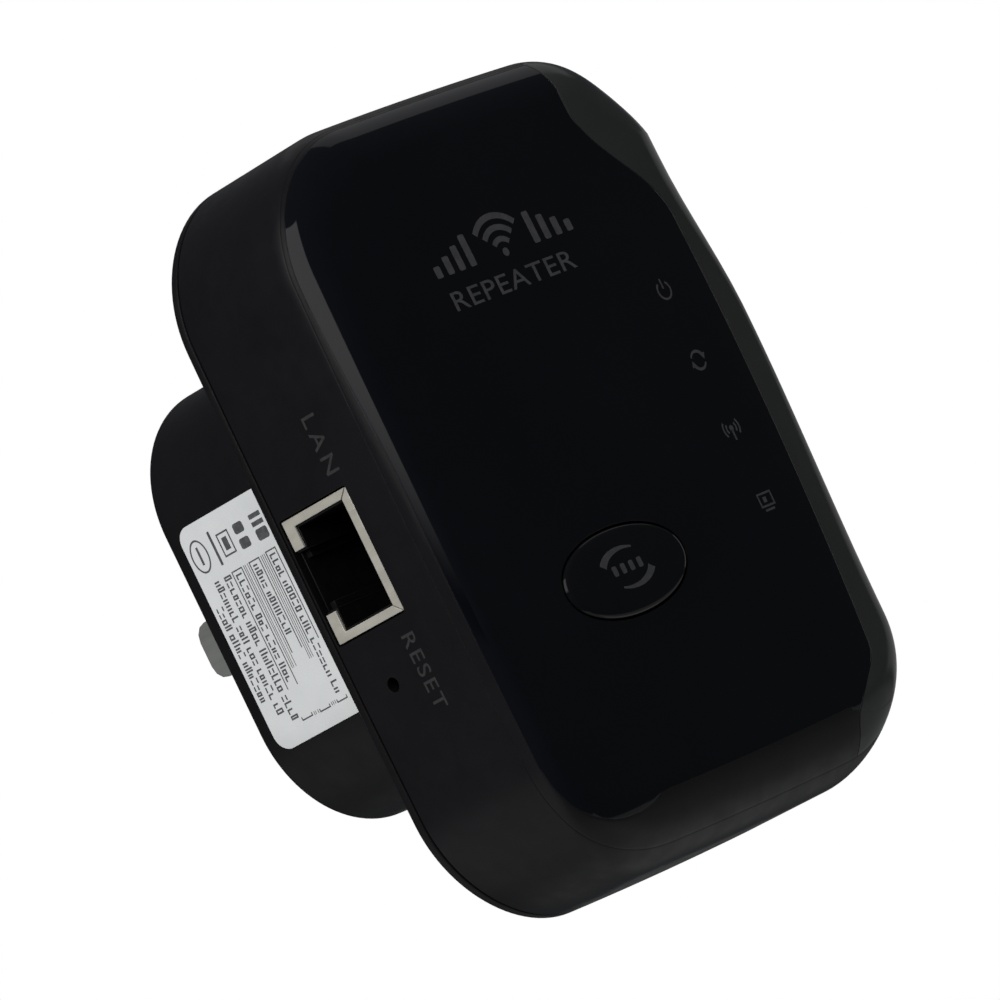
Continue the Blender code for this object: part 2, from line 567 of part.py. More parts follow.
cyl("fuse_resistor", "x", (py + 2.2, BOSS_Z - 19.2), 1.7, -6.5, 3.5, (0.15, 0.25, 0.30), 0.5, chamfer=0.5)
box("converter_chip", -12.6, -8.6, py, py + 1.6, BOSS_Z - 4.0, BOSS_Z + 1.0, (0.02, 0.02, 0.02), 0.6)


def wire(name, x, zc, color):
    """Lead from the mains board's front side to the back of the main board."""
    r = 0.6
    ya, yb = BOARD_Y1 + 0.05, PBOARD_Y0 - 0.05
    rings = []
    m = 9
    n = 8
    for i in range(m + 1):
        t = i / m
        y = ya + (yb - ya) * t
        zz = zc + 2.2 * sin(pi * t)
        slope = 2.2 * pi / (yb - ya) * cos(pi * t) if 0 < i < m else 0.0
        ln = sqrt(1 + slope * slope)
        ring = []
        for k_ in range(n):
            u, v = r * cos(tau * k_ / n), r * sin(tau * k_ / n)
            # u across X, v in the plane normal to the path
            ring.append((x + u, y - v * slope / ln, zz + v / ln))
        rings.append(ring)
    return finish_mesh(name, loft(rings), color, 0.5)


wire("supply_lead_live", 1.2, 18.5, (0.45, 0.02, 0.02))
wire("supply_lead_return", 3.4, 18.5, (0.01, 0.01, 0.01))
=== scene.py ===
import bpy
import bmesh
import random
from math import sin, cos, pi, sqrt, radians, tau, atan2, degrees
from mathutils import Vector, Matrix


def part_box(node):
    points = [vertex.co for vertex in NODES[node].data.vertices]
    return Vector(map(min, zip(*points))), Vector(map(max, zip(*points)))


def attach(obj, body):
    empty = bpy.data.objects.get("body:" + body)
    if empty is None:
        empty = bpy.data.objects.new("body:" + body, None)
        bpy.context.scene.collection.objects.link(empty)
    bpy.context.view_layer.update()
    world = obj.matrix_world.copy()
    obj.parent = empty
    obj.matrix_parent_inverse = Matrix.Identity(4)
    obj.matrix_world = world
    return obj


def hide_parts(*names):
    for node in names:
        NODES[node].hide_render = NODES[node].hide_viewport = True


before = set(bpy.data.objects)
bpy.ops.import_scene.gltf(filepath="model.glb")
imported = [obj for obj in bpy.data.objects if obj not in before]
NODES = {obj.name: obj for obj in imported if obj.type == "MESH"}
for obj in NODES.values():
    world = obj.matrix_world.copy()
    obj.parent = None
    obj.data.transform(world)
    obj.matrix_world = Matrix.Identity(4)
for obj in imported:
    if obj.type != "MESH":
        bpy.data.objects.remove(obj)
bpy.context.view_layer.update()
scene = bpy.context.scene

# ---------------------------------------------------------------------------
# dimensions in millimetres, measured from the face's foremost plane (y) and
# the middle of the body's height (z); the places come from the CAD boxes
# ---------------------------------------------------------------------------
_lo, _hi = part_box("side_housing")
BODY_W = (_hi.x - _lo.x) * 1000
BODY_H = (_hi.z - _lo.z) * 1000
MID_Z = (_hi.z + _lo.z) / 2 * 1000
FACE_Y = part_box("front_cover")[0].y * 1000
_rlo, _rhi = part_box("rear_cover")
REAR_Y = _rhi.y * 1000 - FACE_Y

BODY_D = 21.7
BODY_R = (12.0, 14.5, 14.1, 13.7)
CROWN = 0.5
FIL_LEFT_LOW, FIL_LEFT_HIGH = 1.6, 4.4
FIL_RIGHT_LOW, FIL_RIGHT_MID, FIL_RIGHT_HIGH = 3.4, 1.6, 4.2
FIL_TOP, FIL_BOTTOM, FIL_CORNER, FIL_REAR = 5.9, 8.0, 1.75, 0.8
ROLL, ROLL_X = 0.33, 21.5
WALL, BOW = 1.8, 0.55
PART_Y, REAR_PART_Y, GAP = 3.4, 20.1, 0.2
BOSS_W, BOSS_H, BOSS_R, BOSS_Z = 42.4, 49.2, 13.1, -MID_Z
BLADE_X, BLADE_W, BLADE_T = 6.35, 6.35, 1.5
SEAM_X, SEAM_END_X = 24.3, 16.3
BTN_X, BTN_Z, BTN_W, BTN_H = -6.7, -12.7, 18.6, 9.4
ICON_X = 17.3
ICON_Z = (12.7, 4.6, -3.5, -11.6)
JACK_Y0, JACK_Y1, JACK_ZC, JACK_W, JACK_L = 9.2, 19.6, -0.15, 13.8, 16.0
PIN_Y, PIN_Z, PIN_D = 15.1, -13.2, 1.6


def P(x, y, z):
    return Vector((x / 1000.0, (y + FACE_Y) / 1000.0, (z + MID_Z) / 1000.0))


# ---------------------------------------------------------------------------
# procedural materials
# ---------------------------------------------------------------------------
def mat(name, base, base2=None, rough=0.4, rough_var=0.05, metal=0.0, col_scale=60.0,
        rough_scale=240.0, bump_scale=2500.0, bump=0.15, bump_dist=0.00002, stretch=None,
        bevel=0.0, ior=1.5, coat=0.0, coat_rough=0.03, spec=0.5, speck=0.0, speck_scale=900.0,
        detail=4.0, alpha=1.0, transmission=0.0):
    m = bpy.data.materials.new(name)
    m.use_nodes = True
    nt = m.node_tree
    nt.nodes.clear()
    N = nt.nodes.new
    L = nt.links.new
    out = N("ShaderNodeOutputMaterial")
    b = N("ShaderNodeBsdfPrincipled")
    L(b.outputs["BSDF"], out.inputs["Surface"])
    b.inputs["Metallic"].default_value = metal
    b.inputs["IOR"].default_value = ior
    b.inputs["Specular IOR Level"].default_value = spec
    b.inputs["Coat Weight"].default_value = coat
    b.inputs["Coat Roughness"].default_value = coat_rough
    b.inputs["Alpha"].default_value = alpha
    b.inputs["Transmission Weight"].default_value = transmission
    tc = N("ShaderNodeTexCoord")
    mp = N("ShaderNodeMapping")
    L(tc.outputs["Object"], mp.inputs["Vector"])
    if stretch:
        mp.inputs["Scale"].default_value = stretch
    # colour variation: broad mottling, plus optional fine specks
    n1 = N("ShaderNodeTexNoise")
    n1.inputs["Scale"].default_value = col_scale
    n1.inputs["Detail"].default_value = detail
    n1.inputs["Roughness"].default_value = 0.55
    L(mp.outputs["Vector"], n1.inputs["Vector"])
    ramp = N("ShaderNodeValToRGB")
    ramp.color_ramp.elements[0].position = 0.32
    ramp.color_ramp.elements[1].position = 0.70
    c2 = base2 or tuple(min(1.0, c * 1.25 + 0.0006) for c in base)
    ramp.color_ramp.elements[0].color = (*base, 1)
    ramp.color_ramp.elements[1].color = (*c2, 1)
    L(n1.outputs["Fac"], ramp.inputs["Fac"])
    col = ramp.outputs["Color"]
    if speck:
        v = N("ShaderNodeTexNoise")
        v.inputs["Scale"].default_value = speck_scale
        v.inputs["Detail"].default_value = 1.0
        L(mp.outputs["Vector"], v.inputs["Vector"])
        r2 = N("ShaderNodeValToRGB")
        r2.color_ramp.elements[0].position = 0.70
        r2.color_ramp.elements[1].position = 0.80
        r2.color_ramp.elements[0].color = (0, 0, 0, 1)
        r2.color_ramp.elements[1].color = (speck, speck, speck, 1)
        L(v.outputs["Fac"], r2.inputs["Fac"])
        mx = N("ShaderNodeMix")
        mx.data_type = "RGBA"
        mx.blend_type = "ADD"
        mx.inputs["Factor"].default_value = 1.0
        L(col, mx.inputs["A"])
        L(r2.outputs["Color"], mx.inputs["B"])
        col = mx.outputs["Result"]
    L(col, b.inputs["Base Color"])
    # roughness variation
    n2 = N("ShaderNodeTexNoise")
    n2.inputs["Scale"].default_value = rough_scale
    n2.inputs["Detail"].default_value = 5.0
    L(mp.outputs["Vector"], n2.inputs["Vector"])
    mr = N("ShaderNodeMapRange")
    mr.inputs["From Min"].default_value = 0.3
    mr.inputs["From Max"].default_value = 0.7
    mr.inputs["To Min"].default_value = max(rough - rough_var, 0.0)
    mr.inputs["To Max"].default_value = rough + rough_var
    L(n2.outputs["Fac"], mr.inputs["Value"])
    L(mr.outputs["Result"], b.inputs["Roughness"])
    # fine relief
    normal = None
    if bevel:
        bv = N("ShaderNodeBevel")
        bv.samples = 6
        bv.inputs["Radius"].default_value = bevel / 1000.0
        normal = bv.outputs["Normal"]
    if bump:
        n3 = N("ShaderNodeTexNoise")
        n3.inputs["Scale"].default_value = bump_scale
        n3.inputs["Detail"].default_value = 3.0
        L(mp.outputs["Vector"], n3.inputs["Vector"])
        bp = N("ShaderNodeBump")
        bp.inputs["Strength"].default_value = bump
        bp.inputs["Distance"].default_value = bump_dist
        L(n3.outputs["Fac"], bp.inputs["Height"])
        if normal is not None:
            L(normal, bp.inputs["Normal"])
        normal = bp.outputs["Normal"]
    if normal is not None:
        L(normal, b.inputs["Normal"])
        if coat and bevel:
            L(bv.outputs["Normal"], b.inputs["Coat Normal"])
    return m


M_FACE = mat("gloss_face_lacquer", (0.0016, 0.0018, 0.0028), (0.0024, 0.0026, 0.0038), rough=0.055,
             rough_var=0.02, col_scale=45, rough_scale=120, bump_scale=260, bump=0.05, bump_dist=0.00001,
             bevel=0.16)
M_BUTTON = mat("gloss_button", (0.0018, 0.0020, 0.0026), (0.0027, 0.0028, 0.0034), rough=0.075,
               rough_var=0.02, col_scale=70, rough_scale=200, bump_scale=320, bump=0.05,
               bump_dist=0.00001, bevel=0.10)
# painted reflection: the trim's base colour is a lighter grey than the face lacquer, standing in for the sheen its
# rounded edge catches (the rim_side and rim_high panels also light it)
M_TRIM_PAINTED_SHEEN = mat("edge_trim_painted_sheen", (0.0185, 0.0190, 0.0183), (0.0240, 0.0245, 0.0238), rough=0.22,
             rough_var=0.04, col_scale=60, rough_scale=260, bump_scale=1800, bump=0.06,
             bump_dist=0.00001, bevel=0.14)
M_SATIN = mat("satin_moulded_black", (0.0034, 0.0032, 0.0039), (0.0048, 0.0045, 0.0054), rough=0.40, spec=0.42,
              rough_var=0.05, col_scale=80, rough_scale=500, bump_scale=5200, bump=0.22,
              bump_dist=0.000012, bevel=0.07, speck=0.004, speck_scale=4200)
M_REAR = mat("satin_moulded_rear", (0.0031, 0.0030, 0.0035), (0.0044, 0.0042, 0.0049), rough=0.44, spec=0.42,
             rough_var=0.05, col_scale=70, rough_scale=450, bump_scale=4600, bump=0.25,
             bump_dist=0.000014, bevel=0.18)
M_BLADE = mat("nickel_blade", (0.19, 0.195, 0.182), (0.24, 0.245, 0.230), rough=0.36, rough_var=0.06, metal=0.5,
              col_scale=160, rough_scale=500, bump_scale=600, bump=0.12, bump_dist=0.000004,
              stretch=(4.0, 0.5, 4.0), bevel=0.15)
M_SHIELD = mat("tin_plated_shield", (0.38, 0.365, 0.315), (0.46, 0.445, 0.390), rough=0.34, rough_var=0.10,
               metal=0.35, col_scale=220, rough_scale=700, bump_scale=1500, bump=0.2, bump_dist=0.000006,
               stretch=(1, 1, 3.5), bevel=0.08)
M_GOLD = mat("gold_contacts", (0.85, 0.60, 0.22), (0.95, 0.72, 0.33), rough=0.22, rough_var=0.06, metal=1.0,
             col_scale=700, rough_scale=1500, bump_scale=3000, bump=0.1, bump_dist=0.000004)
M_LABEL = mat("label_film", (0.465, 0.475, 0.475), (0.515, 0.525, 0.525), rough=0.42, rough_var=0.08,
              col_scale=120, rough_scale=900, bump_scale=2600, bump=0.14, bump_dist=0.00001, bevel=0.03)
M_LABEL_INK = mat("label_ink", (0.045, 0.046, 0.049), (0.075, 0.077, 0.080), rough=0.5, rough_var=0.08,
                  col_scale=1600, rough_scale=2500, bump_scale=4000, bump=0.1, bump_dist=0.000004)
M_INK = mat("pad_print_grey", (0.039, 0.039, 0.042), (0.057, 0.057, 0.060), rough=0.34, rough_var=0.07,
            col_scale=1300, rough_scale=2200, bump_scale=5000, bump=0.15, bump_dist=0.000004)
M_INK_DIM = mat("pad_print_dim", (0.037, 0.037, 0.041), (0.051, 0.051, 0.055), rough=0.34, rough_var=0.07,
                col_scale=1300, rough_scale=2200, bump_scale=5000, bump=0.15, bump_dist=0.000004)
M_WALLINK = mat("side_print_grey", (0.0190, 0.0185, 0.0195), (0.0265, 0.0260, 0.0270), rough=0.42, rough_var=0.06,
                col_scale=1500, rough_scale=2200, bump_scale=5000, bump=0.15, bump_dist=0.000004)
M_INSUL = mat("socket_insulator", (0.0014, 0.0014, 0.0017), (0.0026, 0.0026, 0.0030), rough=0.55,
              rough_var=0.08, col_scale=300, rough_scale=900, bump_scale=3000, bump=0.2,
              bump_dist=0.00001, bevel=0.06)
M_PCB = mat("green_solder_mask", (0.010, 0.070, 0.030), (0.018, 0.100, 0.045), rough=0.32, rough_var=0.08,
            col_scale=260, rough_scale=700, bump_scale=1800, bump=0.25, bump_dist=0.00002)
M_BROWN = mat("brown_laminate", (0.13, 0.085, 0.030), (0.19, 0.13, 0.05), rough=0.55, rough_var=0.08,
              col_scale=300, rough_scale=900, bump_scale=1500, bump=0.3, bump_dist=0.00002,
              stretch=(1, 1, 4))
M_CHIP = mat("chip_resin", (0.013, 0.013, 0.014), (0.022, 0.022, 0.023), rough=0.62, rough_var=0.08,
             col_scale=800, rough_scale=1500, bump_scale=5000, bump=0.3, bump_dist=0.00001)
M_STEEL = mat("zinc_steel", (0.52, 0.52, 0.53), (0.63, 0.63, 0.64), rough=0.32, rough_var=0.1, metal=1.0,
              col_scale=600, rough_scale=1400, bump_scale=2500, bump=0.2, bump_dist=0.000006)
M_LED = mat("led_epoxy", (0.80, 0.75, 0.45), (0.88, 0.84, 0.58), rough=0.25, rough_var=0.06, col_scale=900,
            rough_scale=1500, bump_scale=3000, bump=0.1, bump_dist=0.000005)
M_GUIDE = mat("clear_acrylic", (0.78, 0.84, 0.86), (0.86, 0.90, 0.92), rough=0.10, rough_var=0.04,
              col_scale=200, rough_scale=500, bump_scale=900, bump=0.08, bump_dist=0.000006,
              transmission=0.7)
M_BRASS = mat("antenna_brass", (0.62, 0.47, 0.22), (0.76, 0.60, 0.32), rough=0.30, rough_var=0.08, metal=1.0,
              col_scale=400, rough_scale=1200, bump_scale=1500, bump=0.2, bump_dist=0.000006,
              stretch=(4, 1, 1))
M_PLUNGER = mat("switch_plunger_grey", (0.34, 0.34, 0.33), (0.44, 0.44, 0.42), rough=0.45, rough_var=0.06,
                col_scale=600, rough_scale=1500, bump_scale=4000, bump=0.2, bump_dist=0.000008)
M_TAPE = mat("transformer_tape", (0.62, 0.46, 0.05), (0.78, 0.62, 0.12), rough=0.38, rough_var=0.1,
             col_scale=200, rough_scale=800, bump_scale=900, bump=0.3, bump_dist=0.00003,
             stretch=(1, 6, 1))
M_CAP = mat("capacitor_sleeve", (0.008, 0.008, 0.024), (0.014, 0.014, 0.036), rough=0.28, rough_var=0.06,
            col_scale=300, rough_scale=900, bump_scale=1500, bump=0.15, bump_dist=0.00001)
M_FUSE = mat("fuse_coating", (0.09, 0.17, 0.21), (0.15, 0.25, 0.29), rough=0.5, rough_var=0.08,
             col_scale=500, rough_scale=1200, bump_scale=2200, bump=0.35, bump_dist=0.00002)
M_RED = mat("lead_red", (0.36, 0.012, 0.012), (0.46, 0.03, 0.03), rough=0.42, rough_var=0.08, col_scale=500,
            rough_scale=1200, bump_scale=2600, bump=0.2, bump_dist=0.00001)
M_BLACKW = mat("lead_black", (0.008, 0.008, 0.008), (0.014, 0.014, 0.014), rough=0.42, rough_var=0.08,
               col_scale=500, rough_scale=1200, bump_scale=2600, bump=0.2, bump_dist=0.00001)

CAD_MATS = {
    "blade_carrier": M_INSUL, "blade_left": M_BLADE, "blade_right": M_BLADE,
    "lan_socket_insert": M_INSUL, "lan_socket_contacts": M_GOLD,
    "main_board": M_PCB, "board_screw_1": M_STEEL, "board_screw_2": M_STEEL,
    "led_power": M_LED, "led_sync": M_LED, "led_wireless": M_LED, "led_lan": M_LED,
    "led_light_guide": M_GUIDE, "radio_chip": M_CHIP, "memory_chip": M_CHIP, "clock_crystal": M_STEEL,
    "lan_transformer": M_CHIP, "antenna_top": M_BRASS, "antenna_bottom": M_BRASS,
    "pairing_switch_body": M_INSUL, "pairing_switch_plunger": M_PLUNGER,
    "reset_switch_body": M_INSUL, "reset_switch_plunger": M_PLUNGER,
    "mains_board": M_BROWN, "mains_transformer": M_TAPE, "mains_capacitor": M_CAP,
    "output_capacitor": M_CAP, "bridge_rectifier": M_CHIP, "fuse_resistor": M_FUSE,
    "converter_chip": M_CHIP, "supply_lead_live": M_RED, "supply_lead_return": M_BLACKW,
}
for name, m in CAD_MATS.items():
    o = NODES[name]
    o.data.materials.clear()
    o.data.materials.append(m)

# ---------------------------------------------------------------------------
# mesh helpers
# ---------------------------------------------------------------------------


def to_object(name, bm, material, body="housing", sharp=30):
    bmesh.ops.remove_doubles(bm, verts=bm.verts, dist=1e-8)
    bmesh.ops.recalc_face_normals(bm, faces=bm.faces)
    me = bpy.data.meshes.new(name)
    bm.to_mesh(me)
    bm.free()
    me.polygons.foreach_set("use_smooth", [True] * len(me.polygons))
    if sharp:
        me.set_sharp_from_angle(angle=radians(sharp))
    o = bpy.data.objects.new(name, me)
    scene.collection.objects.link(o)
    if material:
        me.materials.append(material)
    if body:
        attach(o, body)
    return o


def outline(w, h, r, n=8, zc=0.0, xc=0.0, bow=0.0, side=6):
    pts = []
    quad = ((1, 1, 0.0), (-1, 1, pi / 2), (-1, -1, pi), (1, -1, 1.5 * pi))
    radii = r if isinstance(r, tuple) else (r,) * 4
    for q, (sx, sz, a0) in enumerate(quad):
        r = radii[q]
        cx, cz = sx * (w / 2 - r), sz * (h / 2 - r)
        for i in range(n + 1):
            a = a0 + (pi / 2) * i / n
            pts.append((cx + r * cos(a), cz + r * sin(a), cos(a), sin(a)))
        nx_, nz_, b0 = quad[(q + 1) % 4]
        rn = radii[(q + 1) % 4]
        ex, ez = nx_ * (w / 2 - rn) + rn * cos(b0), nz_ * (h / 2 - rn) + rn * sin(b0)
        lx, lz = pts[-1][0], pts[-1][1]
        for i in range(1, side):
            t = i / side
            pts.append((lx + (ex - lx) * t, lz + (ez - lz) * t, cos(b0), sin(b0)))
    out = []
    for x, z, nx, nz in pts:
        if bow:
            x += bow * nx ** 3 * (1 - (z / (h / 2)) ** 2)
            z += bow * nz ** 3 * (1 - (x / (w / 2)) ** 2)
        out.append((x + xc, z + zc, nx, nz))
    return out


def off(ol, d):
    res = []
    for x, z, nx, nz in ol:
        dd = d(nx, nz, z) if callable(d) else d
        res.append((x - nx * dd, z - nz * dd))
    return res


def front_radius(nx, nz, z):
    t = min(max((z + 14.0) / 46.0, 0.0), 1.0)
    left = FIL_LEFT_LOW + (FIL_LEFT_HIGH - FIL_LEFT_LOW) * t * t * (3 - 2 * t)
    t = min(max((8.0 - z) / 33.0, 0.0), 1.0)
    right = FIL_RIGHT_MID + (FIL_RIGHT_LOW - FIL_RIGHT_MID) * t * t * (3 - 2 * t)
    t = min(max((z - 8.0) / 18.0, 0.0), 1.0)
    right += (FIL_RIGHT_HIGH - FIL_RIGHT_MID) * t * t * (3 - 2 * t)
    corner = FIL_CORNER * 3.08 * nx ** 3 * nz if nx > 0 and nz > 0 else 0.0
    return (right if nx > 0 else left) * nx * nx + (FIL_TOP if nz > 0 else FIL_BOTTOM) * nz * nz + corner


BODY = outline(BODY_W - 2 * BOW, BODY_H - 2 * BOW, BODY_R, n=26, bow=BOW, side=22)
BOSS = outline(BOSS_W, BOSS_H, BOSS_R, n=26, zc=BOSS_Z, side=22)


def skin(y, t=0.0, extra=0.0):
    def d(nx, nz, z):
        r = front_radius(nx, nz, z)
        yy = y - CROWN - t
        rr = max(r - t, 0.6)
        if yy < rr:
            yy = max(yy, 0.0)
            return t + rr - sqrt(max(rr * rr - (rr - yy) ** 2, 0.0)) + extra
        return t + extra
    return off(BODY, d)


def at(ring2, y):
    return [(x, y, z) for x, z in ring2]


def face_rings(t, steps):
    edge = skin(CROWN + t, t)
    out = []
    for i in range(1, steps + 1):
        s = 1 - 0.96 * i / steps
        out.append([(x * s, CROWN * s * s + t, z * s) for x, z in edge])
    return out


def add_rings(bm, rings, cap_first=False, cap_last=False, closed=False):
    vr = [[bm.verts.new(P(*p)) for p in r] for r in rings]
    k = len(rings[0])
    pairs = list(zip(vr[:-1], vr[1:]))
    if closed:
        pairs.append((vr[-1], vr[0]))
    for a, b in pairs:
        for i in range(k):
            j = (i + 1) % k
            bm.faces.new((a[i], a[j], b[j], b[i]))
    if cap_first:
        bm.faces.new(vr[0])
    if cap_last:
        bm.faces.new(vr[-1])
    return vr


def tray(outer, inner):
    bm = bmesh.new()
    rings = outer + inner
    vr = [[bm.verts.new(P(*p)) for p in r] for r in rings]
    k = len(rings[0])
    n = len(outer)
    pairs = list(zip(vr[:n - 1], vr[1:n])) + list(zip(vr[n:-1], vr[n + 1:])) + [(vr[-1], vr[0])]
    for a, b in pairs:
        for i in range(k):
            j = (i + 1) % k
            bm.faces.new((a[i], a[j], b[j], b[i]))
    bm.faces.new(vr[n - 1])
    bm.faces.new(vr[n])
    return bm


def cutter(name, bm):
    bmesh.ops.recalc_face_normals(bm, faces=bm.faces)
    me = bpy.data.meshes.new(name)
    bm.to_mesh(me)
    bm.free()
    o = bpy.data.objects.new(name, me)
    scene.collection.objects.link(o)
    return o


def cut(ob, cutters, op="DIFFERENCE", sharp=30):
    """Applies the Booleans and throws the cutters away."""
    for c in cutters:
        m = ob.modifiers.new("b", "BOOLEAN")
        m.operation = op
        m.solver = "EXACT"
        m.object = c
    dg = bpy.context.evaluated_depsgraph_get()
    me = bpy.data.meshes.new_from_object(ob.evaluated_get(dg))
    old = ob.data
    ob.modifiers.clear()
    ob.data = me
    me.polygons.foreach_set("use_smooth", [True] * len(me.polygons))
    me.set_sharp_from_angle(angle=radians(sharp))
    for c in cutters:
        bpy.data.objects.remove(c, do_unlink=True)
    bpy.data.meshes.remove(old)


def prism(poly_xz, y0, y1):
    bm = bmesh.new()
    a = [bm.verts.new(P(x, y0, z)) for x, z in poly_xz]
    b = [bm.verts.new(P(x, y1, z)) for x, z in poly_xz]
    bm.faces.new(a)
    bm.faces.new(b)
    k = len(poly_xz)
    for i in range(k):
        j = (i + 1) % k
        bm.faces.new((a[i], a[j], b[j], b[i]))
    return bm


def box_bm(x0, x1, y0, y1, z0, z1):
    return prism([(x0, z0), (x1, z0), (x1, z1), (x0, z1)], y0, y1)


def prism_x(poly_yz, x0, x1, bm=None):
    bm = bm or bmesh.new()
    a = [bm.verts.new(P(x0, y, z)) for y, z in poly_yz]
    b = [bm.verts.new(P(x1, y, z)) for y, z in poly_yz]
    bm.faces.new(a)
    bm.faces.new(b)
    k = len(poly_yz)
    for i in range(k):
        j = (i + 1) % k
        bm.faces.new((a[i], a[j], b[j], b[i]))
    return bm


def rrect_poly(u0, u1, v0, v1, r, n=6):
    pts = []
    for cx, cy, a0 in ((u1 - r, v1 - r, 0), (u0 + r, v1 - r, 90), (u0 + r, v0 + r, 180), (u1 - r, v0 + r, 270)):
        for i in range(n + 1):
            a = radians(a0 + 90 * i / n)
            pts.append((cx + r * cos(a), cy + r * sin(a)))
    return pts


def oval(w, h, xc, zc, n=144, p=2.08):
    pts = []
    for i in range(n):
        a = tau * i / n
        c, s = cos(a), sin(a)
        pts.append((xc + w / 2 * (abs(c) ** (2 / p)) * (1 if c >= 0 else -1),
                    zc + h / 2 * (abs(s) ** (2 / p)) * (1 if s >= 0 else -1)))
    return pts


# ---------------------------------------------------------------------------
# glossy face cover and the trim along its right edge
# ---------------------------------------------------------------------------
def rolled(ring):
    out = []
    for x, y, z in ring:
        u = min(max((x - ROLL_X) / 7.0, 0.0), 1.0)
        v = min(max((PART_Y - y) / (PART_Y - CROWN), 0.0), 1.0)
        out.append((x, y + ROLL * u ** 1.3 * v, z))
    return out


def gloss_y(nx, nz, z):
    """Where the mirror lacquer of the face gives way to the satin flank."""
    t = min(max((z - 2.0) / 24.0, 0.0), 1.0)
    left = 1.9 + 1.2 * t * t * (3 - 2 * t)
    v = (left if nx < 0 else 3.1) * nx * nx + (3.1 if nz > 0 else 0.62) * nz * nz
    return min(v, 3.1)


def skin_at(yf, extra=0.0):
    """Ring whose depth behind the face changes round the outline."""
    ring = []
    for x, z, nx, nz in BODY:
        y = yf(nx, nz, z)
        r = front_radius(nx, nz, z)
        yy = min(max(y - CROWN, 0.0), r)
        d = r - sqrt(max(r * r - (r - yy) ** 2, 0.0)) + extra
        ring.append((x - nx * d, y, z - nz * d))
    return ring


def cover_tray():
    rim = PART_Y + 0.18
    outer = [at(skin(rim, 0, 0.02), rim), at(skin(rim - 0.05), rim - 0.05)]
    n = 10
    for i in range(1, n):
        outer.append(skin_at(lambda nx, nz, z: rim - 0.05 + (gloss_y(nx, nz, z) - rim + 0.05) * i / n))
    outer.append(skin_at(lambda nx, nz, z: gloss_y(nx, nz, z) + 0.03))
    outer.append(skin_at(gloss_y, 0.05))
    outer.append(skin_at(lambda nx, nz, z: gloss_y(nx, nz, z) - 0.03))
    n = 22
    for i in range(1, n + 1):
        f = 1 - i / n
        outer.append(skin_at(lambda nx, nz, z: CROWN + (gloss_y(nx, nz, z) - 0.03 - CROWN) * f * f))
    outer += face_rings(0.0, 22)
    inner = face_rings(WALL, 6)[::-1]
    inner.append(at(skin(CROWN + WALL, WALL), CROWN + WALL))
    inner.append(at(skin(2.7, WALL), 2.7))
    inner.append(at(skin(rim, WALL), rim))
    return tray([rolled(q) for q in outer], [rolled(q) for q in inner])


def paint_flank(ob, material):
    """Satin finish for the faces of the cover that lie behind the lacquer's edge."""
    ob.data.materials.append(material)
    for p in ob.data.polygons:
        c = p.center * 1000
        y, z = c.y - FACE_Y, c.z - MID_Z
        x = c.x
        best = min(BODY, key=lambda q: (q[0] - x) ** 2 + (q[1] - z) ** 2)
        if y > gloss_y(best[2], best[3], best[1]) + ROLL * (1 if x > ROLL_X else 0):
            p.material_index = 1


def seam_x(z):
    top = min(max((34.0 - z) / 14.0, 0.0), 1.0)
    low = min(max((z + 37.0) / 7.5, 0.0), 1.0)
    w = top * top * (3 - 2 * top) * low * low * (3 - 2 * low)
    return SEAM_END_X + (SEAM_X - 2.1 * ((z - 8.0) / 38.0) ** 2 - SEAM_END_X) * w


def seam_cutter(name, shift):
    zs = [-60 + 120 * i / 160 for i in range(161)]
    poly = [(seam_x(z) + shift, z) for z in zs] + [(60, 60), (60, -60)]
    return cutter(name, prism(poly, -6, 12))


face = to_object("face_cover_shell", cover_tray(), M_FACE)
cut(face, [seam_cutter("c1", -0.06),
           cutter("c2", prism(oval(BTN_W + 0.3, BTN_H + 0.3, BTN_X, BTN_Z), -3, 6))])
paint_flank(face, M_SATIN)
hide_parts("front_cover")

trim = to_object("edge_trim_shell", cover_tray(), M_TRIM_PAINTED_SHEEN)
cut(trim, [seam_cutter("c3", 0.06)], op="INTERSECT")
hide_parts("side_trim_right")

# ---------------------------------------------------------------------------
# side housing: left wall carries the LAN opening and the reset pinhole
# ---------------------------------------------------------------------------
ys = [PART_Y + GAP, PART_Y + GAP + 0.04, PART_Y + GAP + 0.14]
rings = [at(skin(ys[0], 0, 0.04), ys[0]), at(skin(ys[1], 0, 0.01), ys[1]), at(skin(ys[2]), ys[2])]
for i in range(1, 17):
    y = ys[2] + (8.6 - ys[2]) * i / 16
    rings.append(at(skin(y), y))
for y in (11.0, 15.0, REAR_PART_Y - 0.16):
    rings.append(at(off(BODY, 0), y))
rings.append(at(off(BODY, 0.04), REAR_PART_Y - 0.04))
rings.append(at(off(BODY, 0.16), REAR_PART_Y))
rings.append(at(off(BODY, WALL), REAR_PART_Y))
for y in (8.6, 6.8, 5.4, 4.4):
    rings.append(at(skin(y, WALL), y))
rings.append(at(skin(PART_Y + GAP, WALL * 0.6), PART_Y + GAP))
bm = bmesh.new()
add_rings(bm, rings, closed=True)
housing = to_object("side_housing_shell", bm, M_SATIN)
jz0, jz1 = JACK_ZC - JACK_W / 2, JACK_ZC + JACK_W / 2
hole = [(PIN_Y + PIN_D / 2 * cos(tau * i / 40), PIN_Z + PIN_D / 2 * sin(tau * i / 40)) for i in range(40)]
cut(housing, [cutter("c4", prism_x(rrect_poly(JACK_Y0 - 0.2, JACK_Y1 + 0.2, jz0 - 0.2, jz1 + 0.2, 0.35), -35, -24)),
              cutter("c5", prism_x(hole, -35, -24))])
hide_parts("side_housing")

